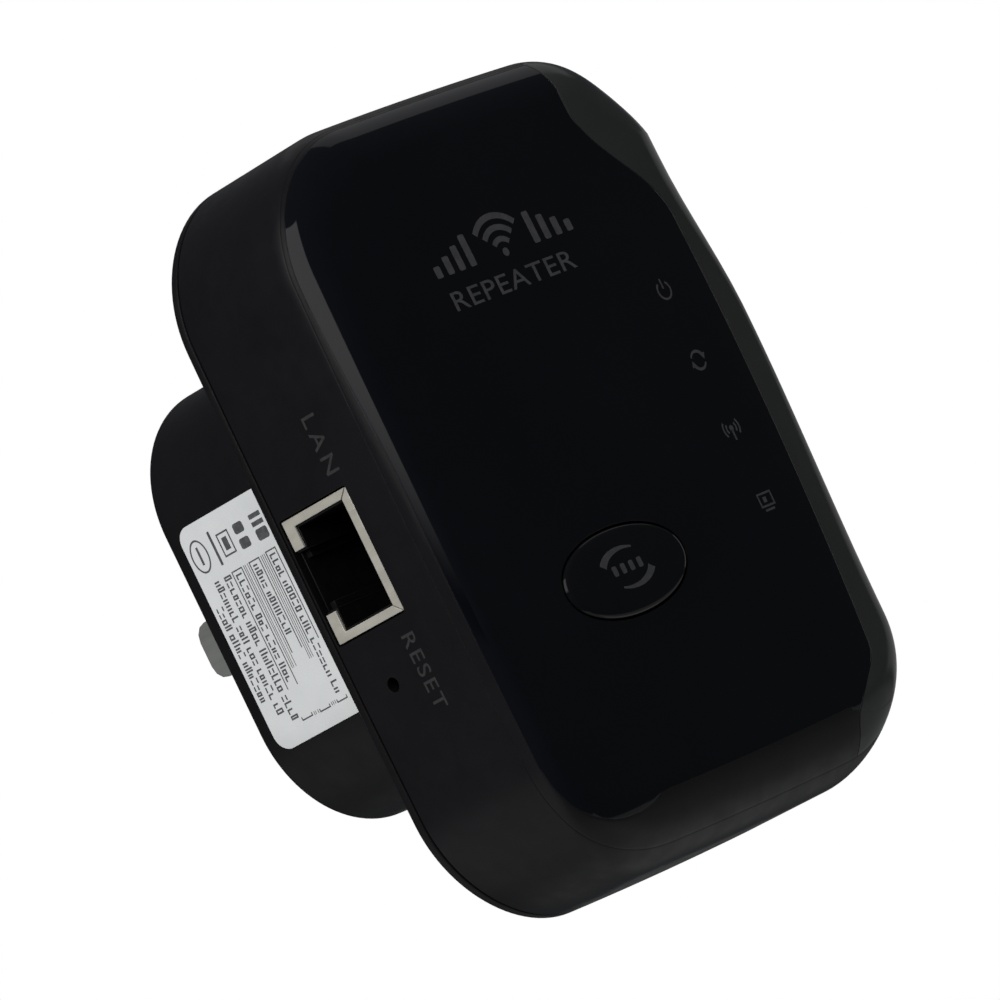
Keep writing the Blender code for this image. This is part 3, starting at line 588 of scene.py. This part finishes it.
# ---------------------------------------------------------------------------
# rear cover with the plug boss
# ---------------------------------------------------------------------------
ry = REAR_PART_Y + GAP
outer = [at(off(BODY, 0.14), ry), at(off(BODY, 0.04), ry + 0.04), at(off(BODY, 0), ry + 0.14),
         at(off(BODY, 0), BODY_D - FIL_REAR)]
for a in range(10, 91, 10):
    outer.append(at(off(BODY, FIL_REAR * (1 - cos(radians(a)))), BODY_D - FIL_REAR * (1 - sin(radians(a)))))
for k in (0.75, 0.5, 0.25):
    a_, b_ = off(BODY, FIL_REAR), off(BOSS, -0.9)
    outer.append(at([(p[0] * k + q[0] * (1 - k), p[1] * k + q[1] * (1 - k)) for p, q in zip(a_, b_)], BODY_D))
for a in range(0, 91, 15):
    outer.append(at(off(BOSS, -0.9 * (1 - sin(radians(a)))), BODY_D + 0.9 * (1 - cos(radians(a)))))
BFIL = 1.1
for y in (27.0, 32.0, 37.0, REAR_Y - BFIL):
    outer.append(at(off(BOSS, 0), y))
for a in range(9, 91, 9):
    outer.append(at(off(BOSS, BFIL * (1 - cos(radians(a)))), REAR_Y - BFIL * (1 - sin(radians(a)))))
for s in (0.75, 0.5, 0.25):
    outer.append(at([(x * s, (z - BOSS_Z) * s + BOSS_Z) for x, z in off(BOSS, BFIL)], REAR_Y))
inner = [at(off(BOSS, WALL), REAR_Y - 1.8), at(off(BOSS, WALL), ry)]
rear = to_object("rear_cover_shell", tray(outer, inner), M_REAR)
slots = []
for s in (-1, 1):
    slots.append(cutter("s%d" % s, prism(rrect_poly(s * BLADE_X - BLADE_T / 2 - 0.15, s * BLADE_X + BLADE_T / 2 + 0.15,
                                                    BOSS_Z - BLADE_W / 2 - 0.15, BOSS_Z + BLADE_W / 2 + 0.15, 0.3),
                                         REAR_Y - 4, REAR_Y + 3)))
cut(rear, slots)
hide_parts("rear_cover")

# ---------------------------------------------------------------------------
# pairing button
# ---------------------------------------------------------------------------
def btn_ring(inset, y):
    return at(oval(BTN_W - 2 * inset, BTN_H - 2 * inset, BTN_X, BTN_Z), y)


rings = [at(oval(BTN_W * s, BTN_H * s, BTN_X, BTN_Z), -0.38 + 0.16 * s ** 3) for s in (0.15, 0.35, 0.55, 0.72, 0.84)]
y_edge = -0.38 + 0.16 * 0.9 ** 3
for a in range(0, 91, 10):
    rr = 0.62
    rings.append(btn_ring(rr * (1 - sin(radians(a))) + 0.02, y_edge + rr * (1 - cos(radians(a)))))
rings += [btn_ring(0, 2.75), at(oval(BTN_W + 1.6, BTN_H + 1.6, BTN_X, BTN_Z), 2.75),
          at(oval(BTN_W + 1.6, BTN_H + 1.6, BTN_X, BTN_Z), 3.25),
          at(oval(4.0, 4.0, BTN_X, BTN_Z, p=2.0), 3.25), at(oval(4.0, 4.0, BTN_X, BTN_Z, p=2.0), 3.6)]
bm = bmesh.new()
add_rings(bm, rings, cap_first=True, cap_last=True)
button = to_object("pairing_button_cap_gloss", bm, M_BUTTON, body="pairing_button_cap")
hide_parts("pairing_button")


def button_y(x, z):
    u = (abs((x - BTN_X) / (BTN_W / 2)) ** 2.08 + abs((z - BTN_Z) / (BTN_H / 2)) ** 2.08) ** (1 / 2.08)
    return -0.38 + 0.16 * u ** 3


# ---------------------------------------------------------------------------
# LAN socket: folded sheet shield with open mitres at its mouth
# ---------------------------------------------------------------------------
JX0 = -BODY_W / 2 + 0.15
JX1 = JX0 + JACK_L
t, ts, rt = 1.15, (JACK_W - 11.9) / 2, 1.5
notch = 3.6
ya, yb, za, zb = JACK_Y0, JACK_Y1, jz0, jz1
zc = JACK_ZC
sl = 0.16
bm = bmesh.new()
prism_x([(ya, za), (ya, zb), (ya + t, zb - ts), (ya + t, za + ts)], JX0, JX1 - 0.9, bm)
prism_x([(ya + sl, zb), (yb, zb), (yb, zc + notch), (yb - rt, zc + notch), (yb - rt, zb - ts), (ya + t + sl, zb - ts)],
        JX0, JX1 - 0.9, bm)
prism_x([(ya + sl, za), (yb, za), (yb, zc - notch), (yb - rt, zc - notch), (yb - rt, za + ts), (ya + t + sl, za + ts)],
        JX0, JX1 - 0.9, bm)
prism_x([(ya, za), (ya, zb), (yb, zb), (yb, za)], JX1 - 0.9, JX1, bm)
shield = to_object("socket_shield_folded", bm, M_SHIELD)
bv = shield.modifiers.new("soft_edges", "BEVEL")
bv.width = 0.00007
bv.segments = 2
bv.limit_method = "ANGLE"
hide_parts("lan_socket_shield")

# dark moulded throat that lines the shield just behind its mouth, stepped at the latch channel
bm = bmesh.new()
e, ti = 0.03, 0.22
x0, x1 = JX0 + 0.22, JX1 - 1.0
yi0, yi1, zi0, zi1 = ya + t + e, yb - rt - e, za + ts + e, zb - ts - e


def slab(y0, y1, z0, z1, xa=None, xb=None):
    prism_x([(y0, z0), (y1, z0), (y1, z1), (y0, z1)], x0 if xa is None else xa, x1 if xb is None else xb, bm)


slab(yi0, yi0 + ti, zi0, zi1)
slab(yi0, yi1, zi1 - ti, zi1)
slab(yi0, yi1, zi0, zi0 + ti)
for sgn in (-1, 1):
    zn, ze = sorted((zc + sgn * (notch - e), zi1 if sgn > 0 else zi0))
    slab(yi1 - ti, yi1, zn, ze)
    zn, ze = sorted((zc + sgn * (notch - e), zc + sgn * (notch - e - ti)))
    slab(yi1 - ti, yb - 0.1, zn, ze)
    zn, ze = sorted((zc + sgn * (notch - e - ti), zc + sgn * 2.5))
    slab(yb - 0.95, yb - 0.1, zn, ze, JX0 + 1.1)
slab(yb - 0.3, yb - 0.1, zc - notch + e, zc + notch - e, JX0 + 0.5)
slab(yi0, yb - 0.6, zi0, zi1, JX1 - 1.3, JX1 - 0.95)
liner = to_object("socket_throat_liner", bm, M_INSUL)
bv = liner.modifiers.new("soft_edges", "BEVEL")
bv.width = 0.00005
bv.segments = 1
bv.limit_method = "ANGLE"

# ---------------------------------------------------------------------------
# rating label, bonded round the boss's left wall, with neutral bars for its rows
# ---------------------------------------------------------------------------
LAB_Y0, LAB_Y1, LAB_Z0, LAB_Z1 = 25.6, 41.7, -13.3, 12.2


def on_boss(z):
    half, zz = BOSS_H / 2 - BOSS_R, z - BOSS_Z
    if abs(zz) <= half:
        return -BOSS_W / 2, -1.0, 0.0
    dz = abs(zz) - half
    c = sqrt(BOSS_R ** 2 - dz ** 2)
    return -(BOSS_W / 2 - BOSS_R) - c, -c / BOSS_R, (1 if zz > 0 else -1) * dz / BOSS_R


def lab_point(y, z, d):
    x, nx, nz = on_boss(z)
    return (x + nx * d, y, z + nz * d)


zs = []
r = 1.7
for i in range(13):
    zs.append(LAB_Z0 + r * (1 - cos(pi / 2 * i / 12)))
for i in range(1, 36):
    zs.append(LAB_Z0 + r + (LAB_Z1 - LAB_Z0 - 2 * r) * i / 36)
for i in range(12, -1, -1):
    zs.append(LAB_Z1 - r * (1 - cos(pi / 2 * i / 12)))
rows = []
for z in zs:
    ee = max(min(z - LAB_Z0, LAB_Z1 - z), 0.0)
    c = r - sqrt(max(r * r - (r - ee) ** 2, 0)) if ee < r else 0.0
    rows.append([lab_point(LAB_Y0, z, 0.05), lab_point(LAB_Y0, z, 0.19), lab_point(LAB_Y1 - c, z, 0.19),
                 lab_point(LAB_Y1 - c, z, 0.05)])
bm = bmesh.new()
add_rings(bm, rows, cap_first=True, cap_last=True)
label = to_object("label_film_bonded", bm, M_LABEL)
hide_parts("rating_label")


class Ink:
    """Thin printed shapes laid on a surface given by map(u, v)."""

    def __init__(self, place):
        self.bm = bmesh.new()
        self.place = place

    def poly(self, pts):
        try:
            self.bm.faces.new([self.bm.verts.new(self.place(u, v)) for u, v in pts])
        except ValueError:
            pass

    def bar(self, u0, u1, v0, v1, r=None, n=4):
        if r:
            self.poly(rrect_poly(u0, u1, v0, v1, r, n))
        else:
            self.poly([(u0, v0), (u1, v0), (u1, v1), (u0, v1)])

    def line(self, pts, w, closed=False):
        """Stroke of constant width along a polyline."""
        k = len(pts)
        lefts, rights = [], []
        for i in range(k):
            if closed:
                a, b = pts[i - 1], pts[(i + 1) % k]
            else:
                a, b = pts[max(i - 1, 0)], pts[min(i + 1, k - 1)]
            dx, dy = b[0] - a[0], b[1] - a[1]
            ln = sqrt(dx * dx + dy * dy) or 1.0
            ww = w(i / (k - 1)) if callable(w) else w
            nx, ny = -dy / ln * ww / 2, dx / ln * ww / 2
            lefts.append((pts[i][0] + nx, pts[i][1] + ny))
            rights.append((pts[i][0] - nx, pts[i][1] - ny))
        rng = range(k if closed else k - 1)
        for i in rng:
            j = (i + 1) % k
            self.poly([lefts[i], lefts[j], rights[j], rights[i]])

    def frame(self, u0, u1, v0, v1, w):
        self.bar(u0, u1, v0, v0 + w)
        self.bar(u0, u1, v1 - w, v1)
        self.bar(u0, u0 + w, v0 + w, v1 - w)
        self.bar(u1 - w, u1, v0 + w, v1 - w)

    def arc(self, cx, cy, r, a0, a1, w, n=28):
        self.line([(cx + r * cos(radians(a0 + (a1 - a0) * i / n)), cy + r * sin(radians(a0 + (a1 - a0) * i / n)))
                   for i in range(n + 1)], w)

    def disc(self, cx, cy, r, n=24):
        self.poly([(cx + r * cos(tau * i / n), cy + r * sin(tau * i / n)) for i in range(n)])

    def text(self, word, u0, u1, v0, v1, spacing=1.0, bold=0.0):
        """Plain lettering fitted into the box, from the built-in font."""
        cu = bpy.data.curves.new("txt", "FONT")
        cu.body = word
        cu.size = 1.0
        cu.space_character = spacing
        cu.offset = bold
        cu.resolution_u = 6
        o = bpy.data.objects.new("txt", cu)
        scene.collection.objects.link(o)
        dg = bpy.context.evaluated_depsgraph_get()
        me = bpy.data.meshes.new_from_object(o.evaluated_get(dg))
        co = [(v.co.x, v.co.y) for v in me.vertices]
        x0, x1 = min(c[0] for c in co), max(c[0] for c in co)
        y0, y1 = min(c[1] for c in co), max(c[1] for c in co)
        vs = [self.bm.verts.new(self.place(u0 + (x - x0) / (x1 - x0) * (u1 - u0), v0 + (y - y0) / (y1 - y0) * (v1 - v0)))
              for x, y in co]
        for p in me.polygons:
            try:
                self.bm.faces.new([vs[i] for i in p.vertices])
            except ValueError:
                pass
        bpy.data.objects.remove(o, do_unlink=True)
        bpy.data.meshes.remove(me)
        bpy.data.curves.remove(cu)

    def done(self, name, material, body="housing", toward=(0, -1, 0)):
        me = bpy.data.meshes.new(name)
        self.bm.normal_update()
        for f in self.bm.faces:
            if f.normal.dot(Vector(toward)) < 0:
                f.normal_flip()
        self.bm.to_mesh(me)
        self.bm.free()
        me.materials.append(material)
        o = bpy.data.objects.new(name, me)
        scene.collection.objects.link(o)
        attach(o, body)
        return o


# u runs down the label (towards -Z), v from the outlet edge towards the face
def lab_place(u, v):
    return P(*lab_point(LAB_Y1 - v, LAB_Z1 - u, 0.205))


def lab_u(z):
    return LAB_Z1 - z


def lab_v(y):
    return LAB_Y1 - y


rnd = random.Random(4)
ink = Ink(lab_place)


def words(z_start, z_end, y_mid, h):
    """A row of plain dashes standing in for printed words."""
    u, end = lab_u(z_start), lab_u(z_end)
    v = lab_v(y_mid)
    s_ = 0.19
    while u < end - 0.3:
        for _ in range(rnd.randint(3, 7)):
            w = rnd.uniform(0.46, 0.62)
            if u + w > end:
                break
            v0, v1 = v - h * 0.56, v + h * 0.56
            if rnd.random() < 0.5:
                v1 = v + h * 0.22
            kind = rnd.randint(0, 3)
            if kind == 0:
                ink.frame(u, u + w, v0, v1, s_)
            elif kind == 1:
                ink.bar(u, u + s_, v0, v1)
                ink.bar(u + s_, u + w, v0, v0 + s_)
            elif kind == 2:
                ink.bar(u, u + s_, v0, v1)
                ink.bar(u + w - s_, u + w, v0, v1)
            else:
                ink.bar(u, u + w, v0, v0 + s_)
                ink.bar(u, u + w, v1 - s_, v1)
            u += w + 0.17
        u += 0.36


rows_y = {"made": 41.0, "user": 39.45, "def": 37.65}
words(3.1, -8.0, 40.62, 0.95)
words(5.6, -10.1, 39.15, 0.95)
words(5.6, -11.2, 37.55, 1.0)
for (ytop, ybot, zs_, ze_, fill_end) in ((36.75, 35.0, 5.7, -11.4, -7.6), (33.85, 32.1, 5.7, -11.5, -3.0),
                                         (31.0, 29.3, 5.8, -11.5, -10.6)):
    ink.frame(lab_u(zs_), lab_u(ze_), lab_v(ytop), lab_v(ybot), 0.14)
    words(zs_ - 0.5, fill_end, (ytop + ybot) / 2, 0.85)
for y in (34.75, 34.50, 34.12, 31.85, 31.58, 31.28):
    ink.bar(lab_u(5.7), lab_u(-11.45), lab_v(y), lab_v(y) + 0.09)
# plain symbols at the head of the label: ring, bar, squares and blocks
ink.line([(lab_u(8.7) + 1.75 * cos(tau * i / 48), lab_v(39.85) + 1.2 * sin(tau * i / 48)) for i in range(48)], 0.20, closed=True)
ink.bar(lab_u(8.7) - 1.05, lab_u(8.7) + 0.95, lab_v(39.85) - 0.16, lab_v(39.85) + 0.16)
ink.bar(lab_u(10.6), lab_u(6.8), lab_v(37.55), lab_v(37.2))
ink.frame(lab_u(9.9), lab_u(7.3), lab_v(36.5), lab_v(34.6), 0.18)
ink.bar(lab_u(9.3), lab_u(7.9), lab_v(35.95), lab_v(35.15))
for z_ in (9.95, 8.25):
    ink.bar(lab_u(z_), lab_u(z_ - 1.15), lab_v(33.75), lab_v(32.2), r=0.3)
ink.bar(lab_u(9.95), lab_u(9.45), lab_v(31.0), lab_v(29.2))
ink.bar(lab_u(9.1), lab_u(8.6), lab_v(31.0), lab_v(29.2))
ink.bar(lab_u(8.25), lab_u(7.0), lab_v(31.0), lab_v(29.2), r=0.3)
lab_ink = ink.done("label_rows_neutral", M_LABEL_INK, toward=(-1, 0, 0))

# ---------------------------------------------------------------------------
# marks on the face: neutral signal arcs between bars, one plain word, icons
# ---------------------------------------------------------------------------
EDGE = skin(CROWN)
EDGE_POLAR = sorted((atan2(z, x), sqrt(x * x + z * z)) for x, z in EDGE)


def face_y(x, z):
    a, rad = atan2(z, x), sqrt(x * x + z * z)
    lo = EDGE_POLAR[-1]
    re = EDGE_POLAR[0][1]
    for k in range(len(EDGE_POLAR) - 1):
        if EDGE_POLAR[k][0] <= a <= EDGE_POLAR[k + 1][0]:
            f = (a - EDGE_POLAR[k][0]) / max(EDGE_POLAR[k + 1][0] - EDGE_POLAR[k][0], 1e-9)
            re = EDGE_POLAR[k][1] * (1 - f) + EDGE_POLAR[k + 1][1] * f
            break
    s = min(rad / re, 1.0)
    return CROWN * s * s


def face_place(u, v):
    return P(u, face_y(u, v) - 0.014, v)


ink = Ink(face_place)
# three arcs over a dot
cx, cz = -1.85, 22.15
ink.disc(cx, cz + 0.1, 0.46)
ink.arc(cx, cz, 1.55, 42, 138, 0.62)
ink.arc(cx, cz, 2.85, 42, 138, 0.66)
ink.arc(cx, cz, 4.15, 42, 138, 0.70)
# level bars on both sides
for i, h in enumerate((1.3, 2.0, 2.75, 3.55)):
    x = -12.7 + i * 1.75
    ink.bar(x, x + 0.95, 22.0, 22.0 + h, r=0.2)
    x = 8.9 - i * 1.75 - 0.95
    ink.bar(x, x + 0.95, 22.0, 22.0 + h, r=0.2)
ink.text("REPEATER", -12.2, 6.9, 18.2, 20.25, spacing=1.06, bold=0.004)
marks = ink.done("face_marks_neutral", M_INK)

ink = Ink(face_place)
x, z = ICON_X, ICON_Z[0]
ink.arc(x, z, 0.98, 125, 415, 0.24)
ink.bar(x - 0.12, x + 0.12, z + 0.15, z + 1.3, r=0.08)
z = ICON_Z[1]
ink.arc(x, z, 1.0, 25, 155, lambda t_: 0.42 - 0.22 * t_)
ink.arc(x, z, 1.0, 205, 335, lambda t_: 0.42 - 0.22 * t_)
ink.poly([(x + 0.55, z + 0.55), (x + 1.35, z + 0.62), (x + 0.98, z - 0.12)])
ink.poly([(x - 0.55, z - 0.55), (x - 1.35, z - 0.62), (x - 0.98, z + 0.12)])
z = ICON_Z[2]
ink.bar(x - 0.14, x + 0.14, z - 1.1, z + 0.1)
ink.disc(x, z + 0.25, 0.32)
for k in (0.75, 1.25):
    ink.arc(x, z + 0.25, k, -38, 38, 0.24, n=14)
    ink.arc(x, z + 0.25, k, 142, 218, 0.24, n=14)
z = ICON_Z[3]
ink.frame(x - 1.15, x + 1.15, z - 0.65, z + 0.95, 0.22)
ink.bar(x - 0.75, x + 0.75, z - 1.12, z - 0.88)
ink.bar(x - 0.45, x + 0.1, z - 0.15, z + 0.45)
icons = ink.done("status_icons_neutral", M_INK_DIM)


def button_place(u, v):
    return P(u, button_y(u, v) - 0.014, v)


ink = Ink(button_place)
bx, bz = -6.65, -12.45


def swoosh(a0, a1, rx, rz, head_first):
    pts = []
    n = 30
    for i in range(n + 1):
        a = radians(a0 + (a1 - a0) * i / n)
        pts.append((bx + rx * cos(a), bz + rz * sin(a)))
    ink.line(pts, (lambda t_: 0.95 - 0.75 * t_) if head_first else (lambda t_: 0.2 + 0.75 * t_))


swoosh(158, 60, 3.6, 2.1, True)
swoosh(-22, -120, 3.6, 2.1, True)
for i in range(4):
    x0 = bx - 2.3 + i * 1.3
    ink.bar(x0, x0 + 0.7, bz - 0.55, bz + 0.55, r=0.2)
bmark = ink.done("button_marks_neutral", M_INK_DIM, body="pairing_button_cap")


# ---------------------------------------------------------------------------
# plain words beside the socket and the pinhole, on the left wall
# ---------------------------------------------------------------------------
def wall_x(z):
    h = BODY_H - 2 * BOW
    return -(BODY_W / 2 - BOW) - BOW * (1 - (z / (h / 2)) ** 2)


# u runs down (-Z), v towards the face (-Y)
def wall_place(u, v):
    return P(wall_x(-u) - 0.014, -v, -u)


ink = Ink(wall_place)
ink.text("LAN", -14.9, -8.5, -10.55, -8.55, spacing=1.35, bold=0.006)
ink.text("RESET", 9.3, 17.6, -11.15, -9.25, spacing=1.2, bold=0.006)
wm = ink.done("side_words_plain", M_WALLINK, toward=(-1, 0, 0))

# soft edges on the CAD solids that can be seen
for n in ("blade_left", "blade_right"):
    b_ = NODES[n].modifiers.new("soft_edges", "BEVEL")
    b_.width = 0.00018
    b_.segments = 3
    b_.limit_method = "ANGLE"
    b_.angle_limit = radians(40)

# ---------------------------------------------------------------------------
# stage, light and camera
# ---------------------------------------------------------------------------
bm = bmesh.new()
bmesh.ops.create_circle(bm, cap_ends=True, radius=2.6, segments=96)
me = bpy.data.meshes.new("floor")
bm.to_mesh(me)
bm.free()
floor = bpy.data.objects.new("floor", me)
floor.location = (0, 0, -0.32)
scene.collection.objects.link(floor)
fm = bpy.data.materials.new("pale_floor")
fm.use_nodes = True
fb = fm.node_tree.nodes["Principled BSDF"]
fb.inputs["Base Color"].default_value = (0.86, 0.86, 0.85, 1)
fb.inputs["Roughness"].default_value = 0.8
fb.inputs["Emission Color"].default_value = (1.0, 1.0, 0.99, 1)
fb.inputs["Emission Strength"].default_value = 0.42
me.materials.append(fm)
floor.visible_glossy = False
floor.visible_diffuse = False

CENTRE = P(0, 16, 0)


def soft_light(name, az, el, dist, w, h, power, color=(1, 1, 1)):
    """az, el: where it stands, seen from the object (az 0 is in front of the face)."""
    d = Vector((sin(radians(az)) * cos(radians(el)), -cos(radians(az)) * cos(radians(el)), sin(radians(el))))
    li = bpy.data.lights.new(name, "AREA")
    li.shape = "RECTANGLE"
    li.size, li.size_y = w, h
    li.energy = power
    li.color = color
    o = bpy.data.objects.new(name, li)
    o.location = CENTRE + d * dist
    o.rotation_euler = (-d).to_track_quat("-Z", "Y").to_euler()
    scene.collection.objects.link(o)
    o.visible_camera = False
    return o


key = soft_light("key_left", -76, 22, 1.3, 0.6, 0.6, 17.8)
key.visible_glossy = False
top = soft_light("top_soft", -20, 80, 1.3, 0.8, 0.6, 5.0)
top.visible_glossy = False
fill = soft_light("fill_back", 150, 40, 1.3, 0.8, 0.6, 12.0)
fill.visible_glossy = False


def card(name, az, el, dist, w, h, radiance, roll=0.0):
    """A dim panel seen only in reflections."""
    o = soft_light(name, az, el, dist, w, h, radiance * pi * w * h)
    o.rotation_euler.rotate_axis("Z", radians(roll))
    o.visible_diffuse = False
    return o


card("bounce_low", 84, -44, 1.2, 1.7, 1.2, 0.15)
card("rim_high", 112, 46, 1.2, 1.1, 0.8, 0.20)
card("rim_side", 106, 0, 1.2, 1.9, 0.55, 0.27)
card("under_soft", 120, -78, 0.30, 0.40, 0.40, 0.19)
card("low_back_left", -134, -34, 0.34, 0.40, 0.28, 0.20)
card("spark_left", -74, 24, 1.0, 0.16, 0.20, 3.2)

# graded reflector on the left: dark at the foot, bright above, seen only in reflections
R_P, z0_, z1_ = 0.24, -0.004, 0.34
bm = bmesh.new()
cols = []
for i in range(25):
    a_ = radians(-44 - 60 * i / 24)
    cols.append([bm.verts.new((R_P * sin(a_), FACE_Y / 1000 - R_P * cos(a_), z0_ + (z1_ - z0_) * j / 12)) for j in range(13)])
for i in range(24):
    for j in range(12):
        bm.faces.new((cols[i][j], cols[i + 1][j], cols[i + 1][j + 1], cols[i][j + 1]))
me = bpy.data.meshes.new("reflector")
bm.to_mesh(me)
bm.free()
refl = bpy.data.objects.new("reflector_left", me)
scene.collection.objects.link(refl)
rm = bpy.data.materials.new("reflector_glow")
rm.use_nodes = True
rt = rm.node_tree
rt.nodes.clear()
ro = rt.nodes.new("ShaderNodeOutputMaterial")
re_ = rt.nodes.new("ShaderNodeEmission")
rg = rt.nodes.new("ShaderNodeNewGeometry")
rs = rt.nodes.new("ShaderNodeSeparateXYZ")
rr_ = rt.nodes.new("ShaderNodeMapRange")
rr_.interpolation_type = "SMOOTHSTEP"
rr_.inputs["From Min"].default_value = 0.004
rr_.inputs["From Max"].default_value = 0.062
rr_.inputs["To Min"].default_value = 0.0
rr_.inputs["To Max"].default_value = 0.95
rt.links.new(rg.outputs["Position"], rs.inputs[0])
rt.links.new(rs.outputs["Z"], rr_.inputs["Value"])
rt.links.new(rr_.outputs["Result"], re_.inputs["Strength"])
rt.links.new(re_.outputs[0], ro.inputs["Surface"])
me.materials.append(rm)
refl.visible_camera = False
refl.visible_diffuse = False
refl.visible_shadow = False
refl.visible_transmission = False

world = bpy.data.worlds.new("studio")
scene.world = world
world.use_nodes = True
nt = world.node_tree
nt.nodes.clear()
out = nt.nodes.new("ShaderNodeOutputWorld")
mix = nt.nodes.new("ShaderNodeMixShader")
mix2 = nt.nodes.new("ShaderNodeMixShader")
lp = nt.nodes.new("ShaderNodeLightPath")


def background(colour, strength):
    n = nt.nodes.new("ShaderNodeBackground")
    n.inputs["Color"].default_value = (*colour, 1)
    n.inputs["Strength"].default_value = strength
    return n


bg_cam = background((1, 1, 1), 1.0)
bg_glossy = background((0.86, 0.92, 1.0), 0.05)
bg_diffuse = background((0.96, 0.98, 1.0), 0.34)
nt.links.new(lp.outputs["Is Glossy Ray"], mix2.inputs["Fac"])
nt.links.new(bg_diffuse.outputs["Background"], mix2.inputs[1])
nt.links.new(bg_glossy.outputs["Background"], mix2.inputs[2])
nt.links.new(lp.outputs["Is Camera Ray"], mix.inputs["Fac"])
nt.links.new(mix2.outputs["Shader"], mix.inputs[1])
nt.links.new(bg_cam.outputs["Background"], mix.inputs[2])
nt.links.new(mix.outputs["Shader"], out.inputs["Surface"])

scene.view_settings.view_transform = "Standard"

# camera: long lens, in front to the left, slightly below, rolled anticlockwise
ROW_U = (0.64255, -0.25829, 0.72140)      # how the object's X axis shows: right, down, away
ROW_V = (-0.63097, 0.35581, 0.68940)      # Y axis
ROW_W = (-0.43475, -0.89816, 0.06565)     # Z axis
right = Vector((ROW_U[0], ROW_V[0], ROW_W[0]))
down = Vector((ROW_U[1], ROW_V[1], ROW_W[1]))
fwd = Vector((ROW_U[2], ROW_V[2], ROW_W[2]))
fwd.normalize()
right = (right - fwd * right.dot(fwd)).normalized()
up = right.cross(fwd)
cam = bpy.data.cameras.new("camera")
cam.sensor_width = 36.0
cam.lens = 9169.874 / 1000 * 36.0
cam.clip_start = 0.05
cam.clip_end = 20
co = bpy.data.objects.new("camera", cam)
scene.collection.objects.link(co)
m = Matrix.Identity(4)
m.col[0][:3] = right
m.col[1][:3] = up
m.col[2][:3] = -fwd
m.col[3][:3] = P(-686.142, -637.664, -61.963)
co.matrix_world = m
scene.camera = co
